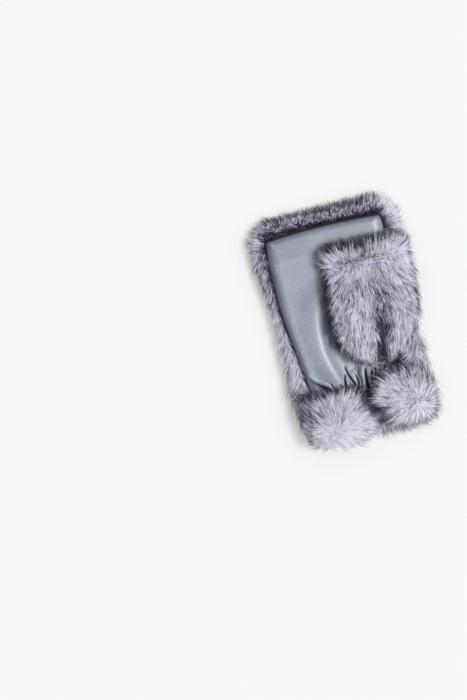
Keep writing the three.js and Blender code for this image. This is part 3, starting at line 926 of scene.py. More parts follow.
@dataclass(frozen=True)
class PalmLeather:
    """The leather palm, with its folded hem, its gathers and the thumb's hole."""

    thick: float = 1.2
    hem_thick: float = 2.0
    hem_depth: float = 22.0
    width: float = 88.2
    half_width: float = 44.0
    wrist_x: float = -35.0
    wrist_y: float = -62.0
    wrist_slope: float = 0.045
    gather_x: float = -41.0
    gather_y: float = -56.5
    gather_fade: float = 6.0
    gather_flare: float = 30.0
    finger_y: float = 80.6
    bow: float = 3.3
    bow_x: float = 12.0
    bow_reach: float = 62.0
    roll: float = 8.5
    open_lift: float = 0.4
    hem_rise: float = 0.5
    ridge_widths: tuple[float, float] = (10.0, 7.0)
    flap_rise: float = 1.1
    flap_drop: float = 0.9
    line_depth: float = 0.08
    wave_height: float = 0.22
    flat_metres: tuple[float, float] = (0.104, 0.165)

    @classmethod
    def finger_edge(cls, x: Array) -> Array:
        """Where the bowed finger edge is, in y."""
        return cls.finger_y - cls.bow * ((x - cls.bow_x) / cls.bow_reach) ** 2

    @classmethod
    def surface(cls, across: Array, along: Array) -> Array:
        """The leather's upper face, at shares across it and along it.

        Args:
            across: Shares of the way from the left seam to the right one.
            along: Shares of the way from the wrist to the finger edge.

        Returns:
            The points in millimetres.
        """
        left, right = SEAM.sides(cls.wrist_y + (cls.finger_y - cls.wrist_y) * along)
        x = left + (right - left) * across
        wrist = cls.wrist_y + cls.wrist_slope * (x - cls.wrist_x)
        y = wrist + (cls.finger_edge(x) - wrist) * along
        return np.stack([x, y, cls.height(x, y, np.abs(2 * across - 1))], -1)

    @classmethod
    def height(cls, x: Array, y: Array, off_middle: Array) -> Array:
        """The upper face's height.

        Args:
            x: The places across.
            y: The places along.
            off_middle: How far they are from the middle line, 1 being on the seams.

        Returns:
            The height at each place.
        """
        from_side = (1 - off_middle) * cls.half_width
        from_rim = np.maximum(0, np.minimum(from_side, cls.finger_edge(x) - y + 0.8))
        rolled = 1 - np.maximum(0, 1 - from_rim / cls.roll) ** 1.8
        # The edge is rolled where no thumb fur lies over it, and falls off gently elsewhere.
        open_side = np.maximum(ease(0, -6, x), ease(57, 61, y))
        share = rolled * open_side + (1 - off_middle**4) * (1 - open_side)
        z = CROWN.at("edge", y) + (CROWN.at("crown", y) + cls.open_lift * open_side) * share
        z = z + cls.hem_rise * ease(cls.finger_y - cls.hem_depth - 2, cls.finger_y - 8, y)
        beside = x - RIDGE.at("x", y)
        z = z + RIDGE.at("rise", y) * bell(beside, np.where(beside < 0, *cls.ridge_widths))
        # The gathers fade out and flare on their way up from the wrist.
        up = y - cls.gather_y - cls.wrist_slope * (x - cls.gather_x)
        for fold in GATHERS:
            rest = np.where(up > 0, 1 - up / fold.reach, 1 + up / cls.gather_fade)
            width = fold.width * (1 + np.maximum(0, up) / cls.gather_flare)
            z = z + fold.rise * np.maximum(0, rest) * bell(x - fold.x - fold.lean * up, width)
        # Each crease starts fine and shallow, and deepens and widens along its run.
        for crease in CREASES:
            run = np.array([crease.end_x - crease.x, crease.end_y - crease.y])
            t = np.clip(((x - crease.x) * run[0] + (y - crease.y) * run[1]) / (run @ run), 0, 1)
            bowed = crease.bow * np.sin(math.pi * t)
            off = np.hypot(x - crease.x - run[0] * t - bowed, y - crease.y - run[1] * t)
            z = z - crease.depth * ease(0, 0.6, t) * bell(off, crease.width * (0.55 + 0.6 * t))
        # The leather is higher past the folded flap's edge, and a little lower on its other side.
        past_flap = 0.72 * (x - FLAP.at("x", y))
        low = ease(-30, -47, y)
        z = z + low * (cls.flap_rise * ease(-2.0, 3.2, past_flap) * bell(np.maximum(past_flap - 1, 0), 9))
        return z - low * cls.flap_drop * ease(1.4, -1.6, past_flap) * ease(0, 5, from_side)

    @classmethod
    def top_over(cls, points: Array) -> Array:
        """How low a hair may lie.

        Args:
            points: Points of the hair, N by 3.

        Returns:
            The leather's height under each point, or 0 beside the leather and far below it.
        """
        x, y, z = points.T
        left, right = SEAM.sides(y)
        off = np.abs(2 * (x - left) / (right - left) - 1)
        over = (off < 1) & (y < cls.finger_y) & (y > cls.wrist_y) & (z > 15)
        return np.where(over, cls.height(x, y, np.minimum(off, 1)) + 0.25, 0.0)

    def _mark_painted_light_and_wear(self, piece: Object, points: Array) -> None:
        """Marks the leather's painted shade, and its painted light that is partly wear.

        The shade's mark is 1 on a rolled edge. The fold's goes from 0 in a crease over 0.5 to 1 on a crest.

        Args:
            piece: The leather.
            points: Its points in the glove's own axes.
        """
        x, y, _ = points.T
        left, right = SEAM.sides(y)
        from_finger = self.finger_edge(x) - y
        # Painted shade: the rolled edges, the strip beside and under the thumb's fur, the hem's outer part and
        # the wrist's thumb side.
        rolled = ease(8.5 + 3.0 * ease(50, 66, y), 1.0, np.minimum(x - left, from_finger * 1.5 + 2))
        thumb_shade = ease(7, 1, THUMB.at("left", y) - x) * band((-36, -26, 58, 68), y)
        hem = ease(self.hem_depth + 0.8, self.hem_depth - 0.8, from_finger) * ease(-4, -26, x)
        wrist_shade = ease(18, 10, right - x) * ease(-20, -34, y)
        mark(piece, SHADE_MARK, np.max([rolled, 0.8 * thumb_shade, 0.42 * hem, wrist_shade], axis=0))

        def height_at(aside: float, ahead: float) -> Array:
            """The leather's height a little aside and ahead of each point."""
            off = np.abs(2 * (x + aside - left) / (right - left) - 1)
            return self.height(x + aside, y + ahead, np.minimum(off, 1))

        # A crest is higher than the leather around it, at either of two distances, and a crease is lower. The
        # crests get a painted highlight that is partly wear, and the creases get painted shade that is partly
        # dirt.
        level = height_at(0, 0)
        around = [
            (level - (height_at(d, 0) + height_at(-d, 0) + height_at(0, d) + height_at(0, -d)) / 4) * weight
            for d, weight in ((1.2, 0.9), (3.6, 0.25))
        ]
        # Folds show away from the edges only. The seams' line and the wrist's thumb side get painted shade, and
        # the plateau left of the ridge gets a little painted light.
        from_seam = np.minimum(x - left, right - x)
        inner = ease(3, 6, np.minimum(from_seam, from_finger))
        corner = ease(18, 11, right - x) * ease(-24, -36, y)
        line = ease(2.4, 1.4, np.minimum(from_seam, from_finger + 0.2))
        broad = 0.14 * bell(x + 34, 9.0) * band((-46, -30, 4, 26), y)
        folded = 0.5 + np.clip(sum(around) + broad, -0.5, 0.5) * inner
        mark(piece, PAINTED_LIGHT_AND_WEAR_MARK, folded - 0.4 * corner - 0.5 * line)

    def build(self, glove: Glove) -> None:
        """Makes the leather and cuts the thumb's hole in it.

        Args:
            glove: The glove to add it to.
        """
        width, length = self.width, self.finger_y - self.wrist_y
        # The grid is finest in the gathers, finer over the hem, and has lines of its own on the rolled edges.
        sides = np.concatenate([[0, 0.15, 0.5], np.linspace(1.2, 87, 140), [87.8, 88.1, width]]) / width
        runs = ((0, 34, 0.7), (34, length - 26, 2.8), (length - 26, length - 1.4, 1.1))
        rows = [*(np.arange(*run) for run in runs), length - np.array([1.2, 0.8, 0.45, 0.15, 0])]
        rows = np.concatenate(rows) / length
        along, across = np.meshgrid(rows, sides, indexing="ij")
        upper = self.surface(across, along)
        from_end = (1 - along) * length
        from_side = np.minimum(across, 1 - across) * width
        hem = ease(self.hem_depth + 1.0, self.hem_depth - 0.6, from_end)
        thick = self.thick + (self.hem_thick - self.thick) * hem
        # The edges are round, a shallow line follows the hem's inner end, and no stretch is quite flat.
        near = np.clip(np.minimum(from_end, from_side) / (thick * 0.55), 0.02, 1)
        slim = np.sqrt(1 - (1 - near) ** 2)
        middle = upper[..., 2] - self.thick / 2
        waves = drift(upper.reshape(-1, 3) * np.array([1, 0.7, 0]), 16.0, 3).reshape(across.shape)
        crease = self.line_depth * bell(from_end - self.hem_depth - 0.4, 0.7) - self.wave_height * waves
        top, under = upper.copy(), upper.copy()
        top[..., 2] = middle + thick * slim / 2 - crease
        under[..., 2] = middle - thick * slim / 2
        points, faces, _ = wall(top, under)
        made = glove.piece("leather_palm", points, faces, Slot.LEATHER, ("leather",))
        self._mark_painted_light_and_wear(made, points)
        Hole().cut(glove, made)
        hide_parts("palm_leather")


@dataclass(frozen=True)
class Coat:
    """One kind of hair.

    Stray and pull are shares, wisps is the share of extra long hairs, and at_fringe and at_side say how much
    longer it is where it fringes the leather and on upright sides.
    """

    name: str
    finish: str
    length: float
    width: float
    stray: float
    clump: float
    pull: float
    wisps: float
    at_fringe: float
    at_side: float
    tone_spread: float
    bowed: bool
    two_toned: bool


DOWN = Coat(
    name="down",
    finish="down_hair",
    length=7.8,
    width=0.4,
    stray=0.2,
    clump=1.5,
    pull=0.42,
    wisps=0.0,
    at_fringe=-0.4,
    at_side=-0.16,
    tone_spread=0.2,
    bowed=False,
    two_toned=False,
)
GUARD = Coat(
    name="guard_hair",
    finish="guard_hair",
    length=11.2,
    width=0.29,
    stray=0.16,
    clump=1.2,
    pull=0.4,
    wisps=0.24,
    at_fringe=0.22,
    at_side=0.22,
    tone_spread=0.14,
    bowed=True,
    two_toned=True,
)
COATS = (DOWN, GUARD)


class Growth(NamedTuple):
    """How the fur grows at its roots.

    Flow is the way it lies, and slant how far it stands up, in degrees. Length, clump and stray are shares of
    the coat's own, pale goes from 0 to 1, and fringe is how much it fringes the leather, with longer and more
    clumped tips; the dark of those tips is painted shade, given in pale.
    """

    flow: Array
    slant: Array
    length: Array
    pale: Array
    clump: Array
    stray: Array
    fringe: Array


@dataclass(frozen=True)
class Fur:
    """Grows a pelt's hair, the same each time for the same seed.

    Wander is how far the hairs' way drifts, over the wander's size, and bow is how much steeper or flatter a
    hair's two halves are, in radians.
    """

    glove: Glove
    name: str
    seed: int
    root_depth: float = 0.8
    wander: float = 0.35
    wander_size: float = 7.0
    slant_spread: float = 7.0
    bow: tuple[float, float] = (0.22, -0.3)

    def grow(self, coat: Coat, roots: Array, normals: Array, growth: Growth) -> None:
        """Makes one piece of hair, which stays above the leather and the floor.

        Args:
            coat: The kind of hair.
            roots: Where the hairs grow.
            normals: The pelt's outward normals there.
            growth: How they grow there.
        """
        rng = np.random.default_rng(self.seed + len(coat.name))
        count = len(roots)
        wander = np.stack([drift(roots, self.wander_size, self.seed + k) for k in (11, 12, 13)], -1)
        stray = rng.normal(0, coat.stray, (count, 3)) * growth.stray[:, None]
        flow = growth.flow + wander * self.wander + stray
        flow = unit(flow - normals * np.einsum("ij,ij->i", flow, normals)[:, None])
        slant = growth.slant + rng.normal(0, self.slant_spread, count) + 5 * drift(roots, 5.0, self.seed + 21)
        slant = np.radians(slant)
        wisp = rng.random(count) < coat.wisps
        share = np.where(wisp, rng.uniform(1.15, 1.45, count), rng.uniform(0.75, 1.1, count))
        slant = np.where(wisp, slant + rng.normal(0.08, 0.1, count), slant)
        beside = bell(normals[:, 2], 0.45)
        longer = coat.at_fringe * growth.fringe + coat.at_side * beside
        length = coat.length * growth.length * share * (1 + longer)
        start = roots - normals * self.root_depth

        def along(part: float, turn: float) -> Array:
            """A part of each hair's way, with its slant turned by some radians."""
            angle = (slant + turn)[:, None]
            return (flow * np.cos(angle) + normals * np.sin(angle)) * (length * part)[:, None]

        middle = start + along(0.5, self.bow[0]) if coat.bowed else None
        straight = middle + along(0.5, self.bow[1]) if coat.bowed else start + along(1.0, 0.0)
        pull = np.minimum(coat.pull * growth.clump + 0.5 * growth.fringe + 0.2 * beside, 0.95)
        tips = self._gathered(coat, straight, roots, pull, rng)
        if coat.bowed:
            middle = middle + (tips - straight) * 0.35
            self._lift(middle, 0.1, 0.7, rng)
        self._lift(tips, 0.05, 0.5, rng)
        radius = coat.width * 0.5 * rng.uniform(0.75, 1.2, count)
        pale = growth.pale + 0.15 * drift(tips, 4.0, self.seed + 41) + 0.12 * drift(tips, 1.6, self.seed + 42)
        pale = pale + 0.65 * drift(roots, 0.9, self.seed + 43)
        if coat.two_toned:
            # Guard hair on upright sides is painted darker, as painted shade.
            pale = pale - 0.28 * beside
            pale = np.where(rng.random(count) < 1.2 * pale - 0.22, 0.97, 0.04)
        pale = np.clip(pale + rng.normal(0, coat.tone_spread, count), 0.02, 1.0)
        stations = [(start, 1.0, 0.0), (middle, 0.8, 0.5)] if coat.bowed else [(start, 1.0, 0.0)]
        self._mesh(coat, stations, tips, normals, radius, pale)

    def _lift(self, points: Array, low: float, high: float, rng: Rng) -> None:
        """Lifts the points that dip into the leather or the floor to a random height between low and high."""
        lowest = PalmLeather.top_over(points) + rng.uniform(low, high, len(points))
        points[:, 2] = np.maximum(points[:, 2], lowest)

    def _gathered(self, coat: Coat, tips: Array, roots: Array, pull: Array, rng: Rng) -> Array:
        """Draws the tips of neighbouring hairs together, as clumps.

        Args:
            coat: The kind of hair.
            tips: The hairs' tips.
            roots: The hairs' roots.
            pull: How far the tips go towards their clump's middle, from 0 to 1.
            rng: The random numbers.

        Returns:
            The tips after the pull.
        """
        size, seed = coat.clump, self.seed + 31
        warp = np.stack([drift(roots, size * 2.2, seed + k) for k in range(3)], -1) * size * 0.9
        cell = np.floor((roots + warp) / size).astype(np.int64)
        _, group = np.unique(cell @ np.array([1, 1024, 1048576]), return_inverse=True)
        group = group.reshape(-1)
        number = np.bincount(group)
        middle = np.stack([np.bincount(group, tips[:, k]) / number for k in range(3)], -1)
        share = pull[:, None] * rng.uniform(0.3, 1.3, (len(tips), 1))
        return tips + (middle[group] - tips) * share

    def _mesh(
        self,
        coat: Coat,
        stations: list[tuple[Array, float, float]],
        tips: Array,
        normals: Array,
        radius: Array,
        tone: Array,
    ) -> None:
        """Builds three-sided tapered hairs as one mesh, with their tone and length in its map.

        Args:
            coat: The kind of hair.
            stations: The hairs' points before their tips, with the share of their radius and of their length.
            tips: Their tips.
            normals: The pelt's outward normals at their roots.
            radius: Their radius at the root.
            tone: How pale they are, from 0 to 1.
        """
        count = len(tips)
        way = tips - stations[0][0]
        across = unit(np.cross(normals, way))
        above = unit(np.cross(way, across))
        ring = [across * math.cos(a) + above * math.sin(a) for a in np.radians([90.0, 210.0, 330.0])]
        points = [centre + r * (radius * share)[:, None] for centre, share, _ in stations for r in ring]
        points.append(tips)
        # The shading leans to the pelt's own normal and upwards, as light spreads inside a coat.
        lit = unit(normals + np.array([0.0, 0.0, 0.7])) * 0.78
        shading = [unit(r + lit) for _ in stations for r in ring]
        shading.append(unit(above + lit))
        last = len(points) - 1
        faces = [[0, 2, 1]]
        for low in range(0, last - 3, 3):
            for k in range(3):
                n = (k + 1) % 3
                faces += [[low + k, low + n, low + 3 + n], [low + k, low + 3 + n, low + 3 + k]]
        faces += [[last - 3 + k, last - 3 + (k + 1) % 3, last] for k in range(3)]
        face_array = (np.array(faces)[None] + (np.arange(count) * (last + 1))[:, None, None]).reshape(-1, 3)
        name = f"{self.name}_{coat.name}"
        vertices = np.stack(points, 1).reshape(-1, 3)
        made = self.glove.piece(name, vertices, face_array, Slot.FUR, (coat.finish,), closed=False)
        across_map = np.stack([tone + (0.012 if k % 3 == 1 else -0.012) for k in range(last)] + [tone], 1)
        along_map = np.array([share for _, _, share in stations for _ in range(3)] + [1.0])
        uv = np.stack([across_map.ravel(), np.tile(along_map, count)], -1)[face_array.ravel()]
        made.data.uv_layers.new(name=HAIR_MAP).data.foreach_set("uv", uv.ravel())
        made.data.normals_split_custom_set_from_vertices(np.stack(shading, 1).reshape(-1, 3))


@dataclass(frozen=True)
class BackPelt:
    """The pelt on the back of the hand, which rolls up round both sides and the finger edge."""

    hairs: tuple[int, int] = (44000, 16500)
    turned_y: float = 72.0
    half_width: float = 50.0
    least_roll: float = 6.0
    skew_y: float = 80.0
    skew: float = 0.12

    def _section(self, y: float) -> tuple[Array, Array]:
        """Draws one section of the pelt from left to right.

        Args:
            y: Where the section is.

        Returns:
            Its fur face and its hollow face.
        """
        rim, floor, bottom = (float(PELT.at(name, y)) for name in ("rim", "floor", "bottom"))
        # The finger edge's sections slant forward on the thumb's side.
        skew = max(0.0, y - self.skew_y) * self.skew
        runs = []
        for sign, name in ((-1, "left"), (1, "right")):
            outermost, seam = float(PELT.at(name, y)), float(SEAM.at(name, y))
            least = outermost - sign * self.least_roll
            seam = max(seam, least) if sign < 0 else min(seam, least)
            fur = [
                (seam + (outermost - seam) * out - sign * inward, bottom + (rim - bottom) * up)
                for inward, out, up in SIDE_PROFILE
            ]
            hollow = [(seam - sign * inward, floor + (rim - floor) * up) for inward, up in HOLLOW_PROFILE]
            slanted = ([(x, y + skew * x / self.half_width, z) for x, z in run] for run in (fur, hollow))
            runs.append([np.array(run) for run in slanted])
        share = (np.arange(1, FLOOR_STEPS) / FLOOR_STEPS)[:, None]
        fur, hollow = (
            np.concatenate([left, left[-1] + (right[-1] - left[-1]) * share, right[::-1]])
            for left, right in zip(*runs)
        )
        return fur, hollow

    def build(self, glove: Glove) -> None:
        """Makes the shell and its fur.

        Args:
            glove: The glove to add them to.
        """
        sections = [self._section(y) for y in PELT.column("y")]
        fur, hollow = (smoothed(smoothed(np.array(grid), 0, 4), 1, 4) for grid in zip(*sections))
        points, faces, inside = wall(fur, hollow)
        skin = inside & (points[faces].mean(axis=1)[:, 1] < self.turned_y)
        shell = glove.pelt("back_pelt", points, faces, skin)
        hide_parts("back_fur")
        turned = hollow[hollow[:, 0, 1] > self.turned_y]
        grower = Fur(glove, "back", 100)
        for coat, count in zip(COATS, self.hairs):
            roots, normals = self._roots(fur, turned, count, np.random.default_rng(7 + count))
            grower.grow(coat, roots, normals, self._growth(roots))

    def _roots(self, fur: Array, turned: Array, count: int, rng: Rng) -> tuple[Array, Array]:
        """Spreads roots over the fur face and over the finger edge's turned face.

        Args:
            fur: The fur face's grid.
            turned: The part of the hollow face's grid that is furry too.
            count: How many roots.
            rng: The random numbers.

        Returns:
            The roots and the outward normals there.
        """
        spread = Spread(fur, int(count * 1.25), rng)
        outer = spread.points()
        outer_normals = outwards(spread.normals(), np.where(outer[:, 2:] < 3, (0.0, 0.0, -1.0), 0.0))
        x, y, z = outer.T
        left, right = SEAM.sides(y)
        lap = 0.2 + 2.0 * ease(60, 74, y)
        beyond = (x < left + lap) | (x > right - lap) | (z < 10) | (y > 80)
        # The underside, which rests on the floor, has fewer hairs.
        keep = beyond & ((z > 3) | (rng.random(len(outer)) < 0.62))
        inner = Spread(turned, int(count * 0.12), rng)
        front = Spread(np.stack([fur[-1], turned[-1]]), int(count * 0.05), rng)
        roots = np.concatenate([outer[keep], inner.points(), front.points()])
        inner_normals = outwards(inner.normals(), (0.0, 0.0, 1.0))
        front_normals = outwards(front.normals(), (0.0, 1.0, 0.0))
        normals = np.concatenate([outer_normals[keep], inner_normals, front_normals])
        order = rng.permutation(len(roots))[:count]
        return roots[order], normals[order]

    def _growth(self, roots: Array) -> Growth:
        """The sides' hair lies towards the wrist and outward, and the finger edge's stands out to the front.

        Args:
            roots: Where the hairs grow.

        Returns:
            How they grow there.
        """
        x, y, z = roots.T
        left, right = SEAM.sides(y)
        beside = np.maximum(left - x, x - right)
        touching = np.maximum(beside, 0)
        side = np.clip(x / 30, -1, 1)
        # Each region is a share from 0 to 1: the finger edge's fan, the underside, the rim close to the seam,
        # the thumb side's lap over the leather, the very end, its two corners and the narrow outer side.
        fan = ease(62, 86, y)
        under = ease(5, 1.5, z)
        close = ease(4.5, 0.5, touching) * ease(9, 13, z) * ease(76, 62, y)
        lap = ease(6, -20, y) * ease(9, 13, z) * ease(30, 36, x)
        end = ease(78, 88, y)
        drop = 0.5 * fan * ease(14, 9, z)
        corner = bell(np.hypot(np.abs(x) - 53, y - 80), 9.0)
        narrow = ease(-50, -54, x) * ease(-60, 20, y)
        # The way it lies and how steep and long it is.
        out = side * (0.55 + 1.1 * fan) * (1 - 0.8 * under)
        out = out * (1 - close) - side * 0.45 * close - 2.0 * lap
        flow = ways(out * (1 - end) + (x / 52) ** 3 * end, -1 + 2.1 * fan, 0.1 - drop)
        diagonal = ways(side, 0.8, -drop) + unit(roots * (1, 1, 0) - (0, 30, 0))
        flow = flow * (1 - corner)[:, None] + diagonal * corner[:, None]
        upright = np.maximum(ease(3.5, 0.0, touching) * fan, bell(y - 80.5, 3.0)) * (1 - corner)
        slant = np.maximum(27 + 24 * fan - 18 * under * (1 - fan) + 7 * close - 4 * narrow, 62 * upright)
        length = 1.0 - (0.3 + 0.1 * ease(46, 34, np.abs(x))) * fan - 0.1 * under + 0.2 * lap
        length = length + 0.22 * ease(-36, -50, y)
        shorter = 0.24 * narrow * (1 - 0.7 * ease(40, 66, y)) + 0.1 * corner
        # The hair is painted darker, as painted shade, beside the leather, low on the outside, along the finger
        # edge and near the wrist on the thumb's side.
        within = band((-55, -50, 47, 52), x)
        along_side = np.maximum(ease(1.4, 0.2, beside), 0.4 * ease(5.5, 0.5, beside) * ease(28, 44, y))
        leather_shade = np.maximum(along_side * ease(82, 79, y), 1.2 * bell(y - 81.2, 1.8) * within)
        outer = ease(11, 4, z) * (0.25 + 0.3 * ease(50, 84, y) * ease(48, 30, x))
        tips = ease(74, 86, y) * ease(50, 34, x) * ease(88.5, 91, y + 0.5 * np.abs(x) / 50)
        pale = 0.92 + 0.14 * drift(roots, 9.0, 5) - 0.85 * leather_shade - outer - 0.4 * tips + tone_and_light(roots)
        pale = pale - 0.25 * ease(76, 84, y) * ease(50, 36, x) - 0.1 * ease(-10, -30, y) * ease(40, 48, x)
        even = np.ones(len(x))
        return Growth(flow, slant, length - shorter, pale, 0.8 * even, 1 + 0.5 * fan, 0 * even)


@dataclass(frozen=True)
class Sleeve:
    """The thumb's fur sleeve and the fur that is turned over at its mouth."""

    sides: int = 56
    squareness: float = 2.7
    middle_x: float = 25.0
    half_width: float = 34.0
    droop: float = 2.4
    valley_width: float = 6.0
    end_y: float = -38.0
    seam_y: float = 44.2
    parting: float = 2.6
    mouth_y: float = 56.6
    hairs: tuple[int, int] = (32000, 10000)
    edge_hairs: tuple[int, int] = (9500, 3200)

    def rings(self, table: Table, places: Array, furry: bool) -> Array:
        """Rings of the sleeve at some places along it.

        Args:
            table: The sleeve's or its hollow's sections.
            places: The places in y.
            furry: Whether the rings have the valley above and the droop below.

        Returns:
            The rings' points.
        """
        c, s = oval(self.sides, self.squareness, 0.5)
        left, right, bottom, top = (table.at(k, places)[:, None] for k in ("left", "right", "bottom", "top"))
        x = left + (right - left) * (1 + c) / 2
        z = bottom + (top - bottom) * (1 + s) / 2
        if furry:
            dip, middle = (VALLEY.at(k, places)[:, None] for k in ("depth", "x"))
            z = z - np.maximum(s, 0) * dip * bell(x - middle, self.valley_width)
            z = z - np.where(s < 0, self.droop * np.maximum(0, (x - 22) / 35) ** 2, 0)
        return ways(x, places[:, None], z)

    def build(self, glove: Glove) -> None:
        """Makes the sleeve and its turned edge, with their fur.

        Args:
            glove: The glove to add them to.
        """
        outer = self.rings(THUMB, np.linspace(self.end_y, 44, 36), True)
        inner = self.rings(THUMB_HOLLOW, np.linspace(44, -28, 24), False)
        points, faces = tube(np.concatenate([outer, inner]))
        skin = self._inner_faces(len(faces), len(outer), len(outer) + len(inner))
        shell = glove.pelt("thumb_pelt", points, faces, skin)
        mark(shell, BARE_MARK, bell(points[:, 1] - self.seam_y, self.parting))
        Hole().cut(glove, shell)
        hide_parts("thumb_fur")
        mouth = self.rings(THUMB_EDGE, np.linspace(44.4, self.mouth_y, 9), True)
        lining = self.rings(THUMB_HOLLOW, np.linspace(self.mouth_y - 1, 44.4, 7), False)
        points, faces = tube(np.concatenate([mouth, lining]), looped=True)
        skin = self._inner_faces(len(faces), len(mouth) + 2, len(mouth) + len(lining))
        edge = glove.pelt("thumb_edge_pelt", points, faces, skin)
        mark(edge, BARE_MARK, bell(points[:, 1] - self.seam_y, self.parting))
        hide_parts("thumb_edge_fur")
        self._grow(Fur(glove, "thumb", 200), outer, self.hairs, self._growth)
        lip = np.concatenate([mouth, lining[:2]])
        self._grow(Fur(glove, "thumb_edge", 300), lip, self.edge_hairs, self._edge_growth)

    def _inner_faces(self, count: int, first: int, last: int) -> Array:
        """Marks the triangles between two rings of a tube, whose strips come first among its faces."""
        strips = np.arange(count) % (count // 2) // self.sides
        return (strips >= first) & (strips < last)

    def _grow(self, fur: Fur, grid: Array, hairs: tuple[int, int], growth: Callable[[Array], Growth]) -> None:
        """Grows one part's fur.

        Args:
            fur: The part's fur.
            grid: The part's rings.
            hairs: How many hairs each coat has.
            growth: Gives how the fur grows at its roots.
        """
        loop = np.concatenate([grid, grid[:, :1]], axis=1)
        for coat, count in zip(COATS, hairs):
            rng = np.random.default_rng(17 + count)
            spread = Spread(loop, int(count * 2.6), rng)
            roots = spread.points()
            middle = between(roots[:, 1], grid[:, 0, 1], grid.mean(axis=1))
            normals = outwards(spread.normals(), roots - middle)
            seam = ease(5.0, 2.0, np.abs(roots[:, 1] - self.seam_y))
            dense = rng.random(len(roots)) < np.where(normals[:, 2] > -0.55, 0.5 + 0.5 * seam, 0.1)
            keep = np.flatnonzero(dense)[:count]
            fur.grow(coat, roots[keep], normals[keep], growth(roots[keep]))

    def _off_middle(self, x: Array) -> Array:
        """How far places are from the sleeve's middle line, -1 and 1 being near its sides."""
        return (x - self.middle_x) / self.half_width

    def _growth(self, roots: Array) -> Growth:
        """Below the seam the hair lies towards the wrist, outward at the sides and into the valley.

        Args:
            roots: Where the hairs grow.

        Returns:
            How they grow there.
        """
        x, y, z = roots.T
        off = self._off_middle(x)
        left, right = THUMB.sides(y)
        # Painted shade on the rim of both sides, which is weaker on the right and towards the wrist.
        rim = ease(5.0, 0.5, x - left) * (1 - 0.5 * ease(30, 42, y)) * (0.4 + 0.6 * ease(27, 33, z))
        rim = (rim + 0.4 * ease(2.5, 0.5, right - x)) * (1 - 0.6 * ease(-6, -26, y))
        low = ease(12, -14, y)
        spread = np.where(off > 0, off**2, -(np.abs(off) ** 1.4))
        flow = ways(spread * (1 - 0.35 * low) - 0.4 * low * band((24, 34, 46, 56), x), -1.0)
        # A hair's colour shows where its tip lies, so the valley's painted shade and the patches of tone and
        # painted light are read there.
        seen = roots + unit(flow) * 5
        seen_y = seen[:, 1]
        seam = ease(30, 43, y)
        parting = ease(38.5, 43, y)
        smooth = band((6, 13, 44, 52), x)
        valley = VALLEY.at("x", seen_y) + 3.0 * bell(seen_y + 17, 9)
        dip = ease(3, -22, seen_y) * bell(seen[:, 0] - valley, 5.0 + 1.0 * bell(seen_y + 8, 9))
        streak = drift(roots * np.array([1, 0.3, 0.6]), 4.5, 9)
        pale = 0.82 + 0.12 * drift(roots, 9.0, 6) + 0.16 * streak * (1 - seam) + 0.2 * seam + tone_and_light(seen)
        # The valley and the sides' rim are painted darker, as painted shade.
        pale = pale - 1.5 * dip - 0.85 * rim - 0.07 * ease(28, 38, x) * (1 - seam)
        slant = 36 + 29 * parting + 12 * ease(40.5, 43.5, y) - 6 * smooth * (1 - seam)
        length = 0.88 - 0.35 * dip - 0.3 * parting - 0.2 * ease(-22, -34, y)
        length = length - 0.24 * ease(6, 0, x - left) * ease(-14, 6, y)
        clump = (1 - 0.9 * seam) * (1 - 0.65 * smooth)
        stray = 1 + 2.0 * parting - 0.4 * smooth
        return Growth(flow, slant, length, pale, clump, stray, ease(2.5, 0.0, x - left))

    def _edge_growth(self, roots: Array) -> Growth:
        """Above the seam the hair stands up and out over the leather.

        Args:
            roots: Where the hairs grow.

        Returns:
            How they grow there.
        """
        x, y, _ = roots.T
        # The hair stands steepest where it parts at the seam, and it is painted darker towards the lip, as
        # painted shade.
        parting = ease(49, 45.4, y)
        slant = 30 + 36 * parting + 12 * ease(47, 45, y)
        length = 1.05 - 0.42 * parting - 0.26 * ease(50, 54, y)
        lip_shade = ease(48, 52.5, y) * ease(52, 38, x) + 0.35 * ease(38, 52, x) * ease(50, 55, y)
        dark = (1.0 - 0.6 * drift(roots, 0.9, 12)) * lip_shade
        pale = 0.9 + 0.12 * drift(roots, 8.0, 7) - dark + tone_and_light(roots)
        fringe = ease(50, 54, y) * ease(56, 44, x)
        flow = ways(1.3 * self._off_middle(x) ** 3, 1.0)
        return Growth(flow, slant, length, pale, 1 - 0.9 * ease(54, 45, y), 1 + 2.0 * parting, fringe)


